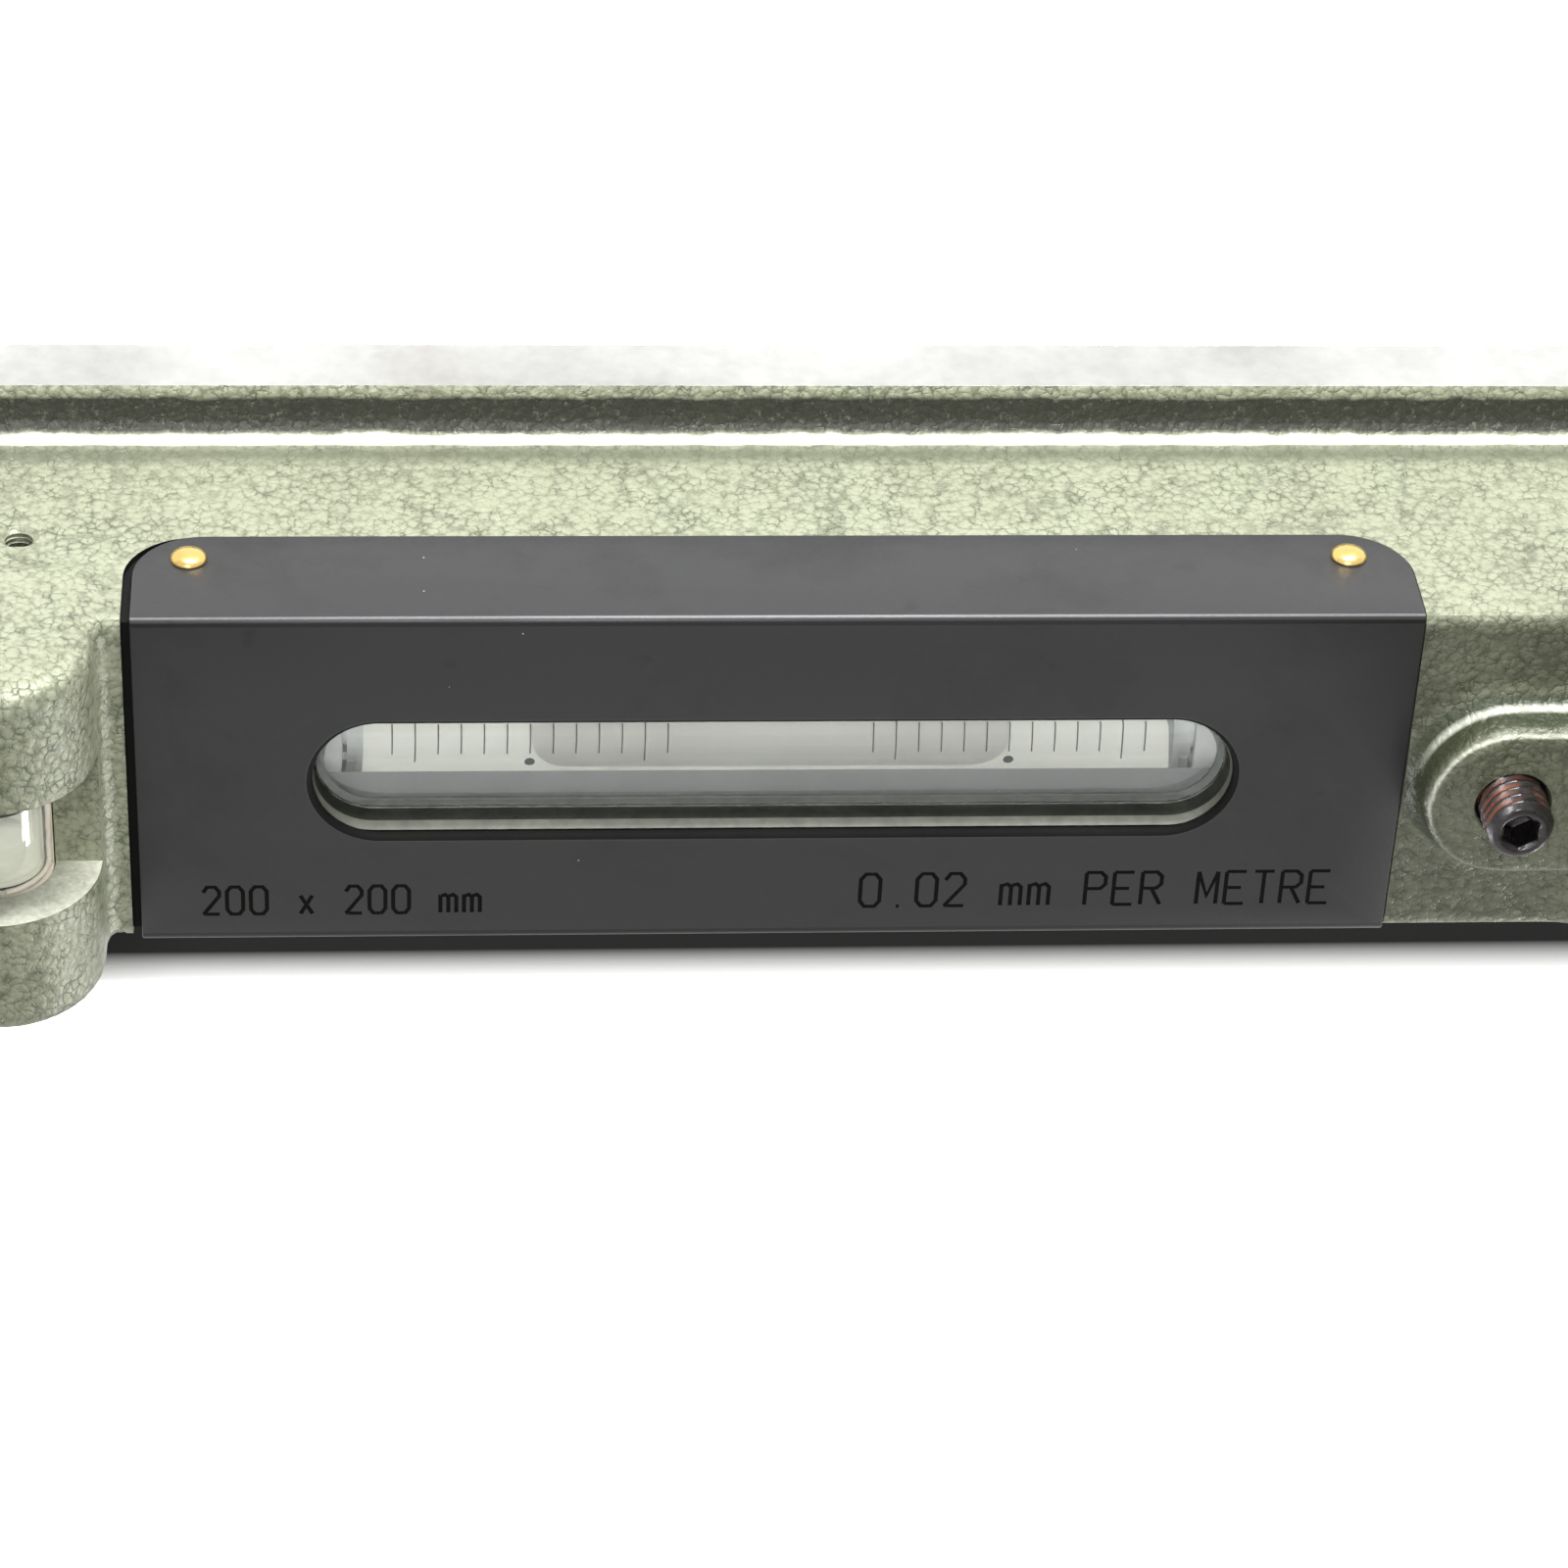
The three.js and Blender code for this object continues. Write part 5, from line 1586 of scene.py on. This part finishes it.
@dataclass
class Adjuster:
    """The adjusting screw with its thread and socket, the lift spring and the pivot screws."""

    x: float = -64.4
    top: float = 45.5
    tip: float = 32.0
    crest: float = 3.0
    root: float = 2.42
    pitch: float = 1.0
    flats: float = 3.0
    socket: float = 3.2
    sides: int = 72
    coils: float = 4.5
    coil_radius: float = 2.5
    wire: float = 0.38
    spring: Pair = (10.0, 14.7)

    def thread(self, height: float, turn: float) -> float:
        """The radius of the threaded stem.

        Args:
            height: The height along it.
            turn: The angle round it.

        Returns:
            The radius.
        """
        phase = (height / self.pitch - turn / (2 * math.pi)) % 1.0
        rise = abs(phase - 0.5) * 2
        share = min(max((rise - 0.12) / 0.72, 0.0), 1.0)
        radius = self.root + (self.crest - self.root) * share
        above = self.crest - 0.62 + (self.top - height)
        below = self.crest - 0.9 + (height - self.tip)
        return min(radius, above, below)

    def hexagon(self, grow: float, turn: float) -> float:
        """Returns the reach of the hexagon socket at an angle, let out by a distance."""
        return (self.flats / 2 + grow) / math.cos((turn + math.pi / 6) % (math.pi / 3) - math.pi / 6)

    def ring(self, height: float, radius_at: Callable[[float], float]) -> list[Point]:
        """A ring round the screw's axis.

        Args:
            height: Its height.
            radius_at: Gives its radius at each angle.

        Returns:
            The ring's points.
        """
        points = []
        for side in range(self.sides):
            turn = 2 * math.pi * side / self.sides
            radius = radius_at(turn)
            points.append((self.x + radius * math.cos(turn), radius * math.sin(turn), height))
        return points

    def build(self) -> None:
        """Makes the screw, the spring, the small screws and the bore's plug."""
        top, tip = self.top, self.tip
        floor = top - self.socket
        rings = [self.ring(floor - 0.7, lambda turn: 1e-6)]
        for height, grow in ((floor, -0.02), (top - 0.5, 0.0), (top - 0.28, 0.03)):
            rings.append(self.ring(height, lambda turn, g=grow: self.hexagon(g, turn)))
        for height, radius in ((top - 0.06, 1.86), (top, 2.0), (top, 2.24)):
            rings.append(self.ring(height, lambda turn, r=radius: r))
        steps = int((top - tip) / 0.1)
        for step in range(1, steps):
            height = top - step * (top - tip) / steps
            rings.append(self.ring(height, lambda turn, h=height: self.thread(h, turn)))
        rings += [self.ring(tip, lambda turn: 1.9), self.ring(tip, lambda turn: 1e-6)]
        screw = skin("adjusting_screw_threaded", rings)
        fit(screw, 42, Finish.THREAD, "adjusting_screw", "black_steel", "adjusting_screw")

        path = []
        low, high = self.spring
        count = int(self.coils * 20)
        for step in range(count + 1):
            turn = 2 * math.pi * self.coils * (step / count)
            x, y = self.x + self.coil_radius * math.cos(turn), self.coil_radius * math.sin(turn)
            path.append((x, y, low + (high - low) * (step / count)))
        spring = sweep("lift_spring_coil", path, lambda share: self.wire, 10)
        fit(spring, 60, Finish.BRIGHT_STEEL, "frame", "bright_steel", "lift_spring")
        for node in ("pivot_screw_front", "pivot_screw_back"):
            repaint(node, Finish.BLACK_STEEL)
        plug = [(0, -96.5), (9.7, -96.5), (10.1, -96.1), (10.1, -90.6), (0, -90.6)]
        plug = turned("bore_plug_turned", plug, Axis.X, (0, 24.5), 72)
        slot = rounded((-1, 1), (10, 40), 0.1, 1)
        carve(plug, prism("slot", slot, Axis.X, -99, -94.9))
        fit(plug, 35, Finish.BLACK_STEEL, "frame", "black_steel", "bore_plug")


@dataclass
class CrossVial:
    """The short cross vial, cemented in its bore and open to view in the boss's notch."""

    centre: Pair = (67.4, 40.2)
    radius: float = 4.15
    chamber: float = 3.35
    front: float = -9.0
    back: float = 13.0
    rings_at: Pair = (-1.95, 5.75)
    bubble_at: Pair = (1.8, 3.6)
    bubble_width: float = 2.4
    belly: float = 0.5
    lining: Pair = (4.42, 4.32)
    bead_at: float = 4.5
    bead_ends: Pair = (-5.55, 5.45)
    bead: Pair = (0.24, 0.07)

    def build(self) -> None:
        """Makes the vial, its rings, spirit, bubble, white backing and cement."""
        at, front, back = self.centre, self.front, self.back
        tube = [(self.chamber, front), (self.radius - 0.3, front), (self.radius, front + 0.3)]
        tube += [(self.radius, back), (self.chamber, back)]
        glass = turned("cross_glass", tube, Axis.Y, at, 72, True)
        fit(glass, 40, Finish.GLASS, "frame", "clear_glass", "cross_vial_glass")
        fill, reach = self.chamber + 0.02, self.chamber - 0.03
        spirit = [(0, front + 1.6), (fill - 0.2, front + 1.6), (fill, front + 1.8)]
        spirit += [(fill, back - 2.2), (fill - 0.2, back - 2.0), (0, back - 2.0)]
        spirit = turned("cross_spirit", spirit, Axis.Y, at, 72)
        fit(spirit, 40, Finish.SPIRIT, "frame", "vial_liquid", "cross_vial_liquid")
        for name, low, high, nodes in (
            ("cross_end_back", back - 2.0, back, ["cross_vial_stopper"]),
            ("cross_end_front", front, front + 1.6, []),
        ):
            end = turned(name, [(0, low), (reach, low), (reach, high), (0, high)], Axis.Y, at, 48)
            fit(end, 40, Finish.SEALANT, "frame", "clear_glass", *nodes)
        self.bands()
        size = (self.chamber - 0.05, self.bubble_width, self.belly)
        gas = bubble("cross_bubble_gas", Axis.Y, at, self.bubble_at, size, 24)
        fit(gas, 60, Finish.VAPOUR, "cross_bubble", "bubble_gas", "cross_bubble")
        x, z = at
        outer, inner = self.lining
        bow = arc((0, 0), outer, 180, 360, 24) + arc((0, 0), inner, 360, 180, 24)
        outline = [(x + u, z + v) for u, v in bow]
        lining = prism("cross_lining", outline, Axis.Y, -8.8, 12.8)
        fit(lining, 40, Finish.BACKING, "frame", "cement")
        self.cement()
        repaint("cross_bore_plug", Finish.PAINT)

    def bands(self) -> None:
        """Makes the two dark rings over the top of the glass."""
        x, z = self.centre
        bands = []
        for place in self.rings_at:
            rings = []
            for u, v in arc((0, 0), 1.0, 8, 172, 40):
                ring = []
                for out, along in ((-0.02, -0.13), (0.03, -0.13), (0.03, 0.13), (-0.02, 0.13)):
                    reach = self.radius + out
                    ring.append((x + reach * u, place + along, z + reach * v))
                rings.append(ring)
            bands.append(skin("ring", rings))
        bands = merge(bands)
        bands.name = "cross_rings"
        fit(bands, 40, Finish.INK, "frame", "black_steel")

    def cement(self) -> None:
        """Makes the hand-laid cement line along both sides of the glass and round its end."""
        repaint("cross_vial_cement", Finish.CEMENT)
        x, z = self.centre[0], self.centre[1] + 0.05
        first, last = self.bead_ends
        for hand, name in ((-1, "left"), (1, "right")):
            path = []
            for step in range(33):
                y = first + (last - first) * (step / 32)
                wander = 0.07 * noise.noise(Vector((hand * 3.1, y * 0.8, 0.4)))
                path.append((x + hand * (self.bead_at + wander), y, z))
            for step in range(1, 8):
                turn = math.radians(11 * step)
                reach = hand * self.bead_at * math.cos(turn)
                path.append((x + reach, last + 0.05 * step, z + self.bead_at * math.sin(turn)))
            bead = sweep(f"cement_bead_{name}", path, lambda share: self.thickness(share, hand), 12)
            fit(bead, 60, Finish.CEMENT, "frame", "cement")

    def thickness(self, share: float, hand: int) -> float:
        """Returns the radius of one side's cement bead at a share of its length."""
        size, swell = self.bead
        return size + swell * noise.noise(Vector((share * 14.0, hand * 2.0, 0.0)))


@dataclass
class Grips:
    """The four moulded grips on the uprights, each with two slotted screws."""

    x: float = 85.2
    height: float = 106.4
    width: float = 12.2
    length: float = 92.0
    thickness: float = 4.4
    foot: float = 17.0
    corner: float = 3.0
    edge: float = 1.2
    screw_reach: float = 33.0
    head: float = 3.4

    def build(self) -> None:
        """Makes every grip with its screws."""
        for hand_x, end in ((-1, "left"), (1, "right")):
            for hand_y, face in ((-1, "front"), (1, "back")):
                self.grip(hand_x * self.x, hand_y, f"{face}_{end}")

    def outline(self, middle: float, inset: float) -> Outline:
        """A grip seen from the side.

        Args:
            middle: Its middle along the bar.
            inset: How far it is drawn in.

        Returns:
            The outline.
        """
        half, tall = self.width / 2 - inset, self.length / 2 - inset
        sides = (middle - half, middle + half)
        return rounded(sides, (self.height - tall, self.height + tall), self.corner - inset * 0.8)

    def grip(self, middle: float, hand_y: int, name: str) -> None:
        """Makes one grip with its screws.

        Args:
            middle: Its middle along the bar.
            hand_y: -1 for the front, 1 for the back.
            name: The grip's place in words.
        """
        foot, out, edge = self.foot, self.foot + self.thickness, self.edge
        side = [(0, foot), (0, out - edge), (0.16, out - 0.58), (0.55, out - 0.18), (edge, out)]
        side = mirrored(side, hand_y)
        plate = loft(f"grip_{name}_moulded", lambda inset: self.outline(middle, inset), Axis.Y, side)
        well = [(0, foot - 1), (2.1, foot - 1), (2.1, out - 2.9), (3.6, out - 2.9)]
        well = mirrored(well + [(3.6, out - 0.3), (3.9, out), (3.9, out + 2), (0, out + 2)], hand_y)
        levels = ((self.height - self.screw_reach, "lower"), (self.height + self.screw_reach, "upper"))
        for z, _ in levels:
            carve(plate, turned("well", well, Axis.Y, (middle, z), 48))
        fit(plate, 34, Finish.PHENOLIC, "frame", "grip_phenolic", f"grip_{name}")
        for z, level in levels:
            self.screw(middle, hand_y, z, f"{name}_{level}")

    def screw(self, x: float, hand_y: int, z: float, name: str) -> None:
        """Makes one slotted screw, its head a little below the grip's face.

        Args:
            x: Its place along the bar.
            hand_y: -1 for the front, 1 for the back.
            z: Its height.
            name: The screw's place in words.
        """
        top, head = self.foot + self.thickness - 0.5, self.head
        profile = [(0, top - 12), (1.0, top - 12), (1.9, top - 11), (1.9, top - 2.2), (3.2, top - 2.2)]
        profile += [(head, top - 2.0), (head, top - 0.7), (3.2, top - 0.35), (2.6, top - 0.1)]
        profile += [(1.6, top), (0, top)]
        screw = turned(f"screw_{name}", mirrored(profile, hand_y), Axis.Y, (x, z), 40)
        turn = math.radians(noise.noise(Vector((x, hand_y, z))) * 180)
        cos, sin = math.cos(turn), math.sin(turn)
        corners = ((-5, -0.45), (5, -0.45), (5, 0.45), (-5, 0.45))
        slot = [(x + u * cos - v * sin, z + u * sin + v * cos) for u, v in corners]
        carve(screw, prism("slot", slot, Axis.Y, *sorted((hand_y * (top - 0.9), hand_y * (top + 2)))))
        fit(screw, 34, Finish.BRIGHT_STEEL, "frame", "bright_steel", f"grip_screw_{name}")


# --------------------------------------------------------------------------- studio


@dataclass
class Studio:
    """A pale floor, soft lamps and the camera at the photograph's angle."""

    eye: Point = (34.08, -253.93, 383.04)
    forward: Point = (-0.0807, 0.5903, -0.8031)
    up: Point = (-0.0059, -0.8060, -0.5918)
    lens: float = 113.35
    ambient: float = 0.07
    footprint: Pair = (100.0, 26.0)
    painted_shadow: float = 0.05
    soft_white: float = 2.0
    full_white: float = 14.0

    def build(self) -> None:
        """Makes the camera, the floor, the lamps and the world."""
        self.camera()
        self.floor()
        self.lamp("key", (-60, -800, 96), (0, 0, 50), (520, 170), 12.4)
        self.lamp("high", (100, -305, 594), (0, 0, 40), (150, 150), 1.75)
        self.lamp("left", (-600, 620, 90), (0, 0, 80), (420, 150), 3.7)
        self.lamp("right", (600, 620, 90), (0, 0, 80), (420, 150), 3.7)
        self.world()
        bpy.context.scene.view_settings.view_transform = "Standard"

    def camera(self) -> None:
        """Makes the camera."""
        data = bpy.data.cameras.new("camera")
        data.lens = self.lens
        data.sensor_width = 36.0
        data.clip_start, data.clip_end = 0.01, 20.0
        camera = bpy.data.objects.new("camera", data)
        ahead = Vector(self.forward).normalized()
        right = ahead.cross(Vector(self.up)).normalized()
        above = right.cross(ahead)
        turn = Matrix((right, above, -ahead)).transposed().to_4x4()
        camera.matrix_world = Matrix.Translation(Vector(self.eye) * MM) @ turn
        bpy.context.scene.collection.objects.link(camera)
        bpy.context.scene.camera = camera

    def floor(self) -> None:
        """Makes the floor: white to the eye, except for a painted shadow, near black, on a band behind and
        under the bar, and so bright further out that the lamps' shadows vanish there.
        """
        floor = prism("floor", rounded((-6000, 6000), (-6000, 6000), 50), Axis.Z, -20, 0)
        s = Shade("floor_paper")
        paper = s.mix(s.noise(240.0, 3.0, 0.5), (0.84, 0.84, 0.84), (0.86, 0.86, 0.86))
        x, y, _ = s.parts()
        past_y = abs(y - self.footprint[1] * MM) - self.footprint[1] * MM
        away = s.math("MAXIMUM", abs(x) - self.footprint[0] * MM, past_y)
        # Both ramps start at a painted shadow, near black, in a band behind the bar, and the full one rises
        # far past white, which hides the lamps' shadows further out.
        soft = s.span(away, (-4.4 * MM, -1.0 * MM), (self.painted_shadow, self.soft_white))
        full = s.span(away, (-1.6 * MM, 2.6 * MM), (self.painted_shadow, self.full_white))
        seen, glossy, through = (s.ray(kind) for kind in ("Camera", "Glossy", "Transmission"))
        colour = s.mix(seen, paper, s.math("MAXIMUM", soft, full))
        matt = s.term("BsdfDiffuse", 0, {"Color": colour})
        glow = s.term("Emission", 0, {"Strength": s.math("MAXIMUM", glossy, through) * 0.6})
        s.node("OutputMaterial", {"Surface": s.term("AddShader", 0, {0: matt, 1: glow})})
        floor.data.materials.append(s.material)

    def lamp(self, name: str, place: Point, aim: Point, size: Pair, watts: float) -> None:
        """Makes one soft lamp.

        Args:
            name: Its name.
            place: Where it hangs.
            aim: What it points at.
            size: Its width and height.
            watts: Its power.
        """
        data = bpy.data.lights.new(name, "AREA")
        data.shape = "RECTANGLE"
        data.size, data.size_y = size[0] * MM, size[1] * MM
        data.energy = watts
        lamp = bpy.data.objects.new(name, data)
        lamp.location = Vector(place) * MM
        lamp.rotation_euler = (Vector(aim) - Vector(place)).to_track_quat("-Z", "Y").to_euler()
        bpy.context.scene.collection.objects.link(lamp)

    def world(self) -> None:
        """Makes the air round the level: grey to matt surfaces, white to the eye, metal and glass."""
        world = bpy.data.worlds.new("studio_air")
        bpy.context.scene.world = world
        s = Shade("studio_air", world)
        seen, glossy, through = (s.ray(kind) for kind in ("Camera", "Glossy", "Transmission"))
        seen = s.math("MAXIMUM", s.math("MAXIMUM", seen, glossy), through)
        strength = s.span(seen, (0.0, 1.0), (self.ambient, 1.0))
        air = s.term("Background", 0, {"Color": (1, 1, 1, 1), "Strength": strength})
        s.node("OutputWorld", {"Surface": air})


def main() -> None:
    """Builds the level and its studio."""
    logging.basicConfig(level=logging.INFO, format="%(message)s")
    Studio().build()
    for part in (Casting(), Cover(), MainVial(), Adjuster(), CrossVial(), Grips()):
        log.info("making %s", type(part).__name__)
        part.build()


if __name__ == "__main__":
    main()
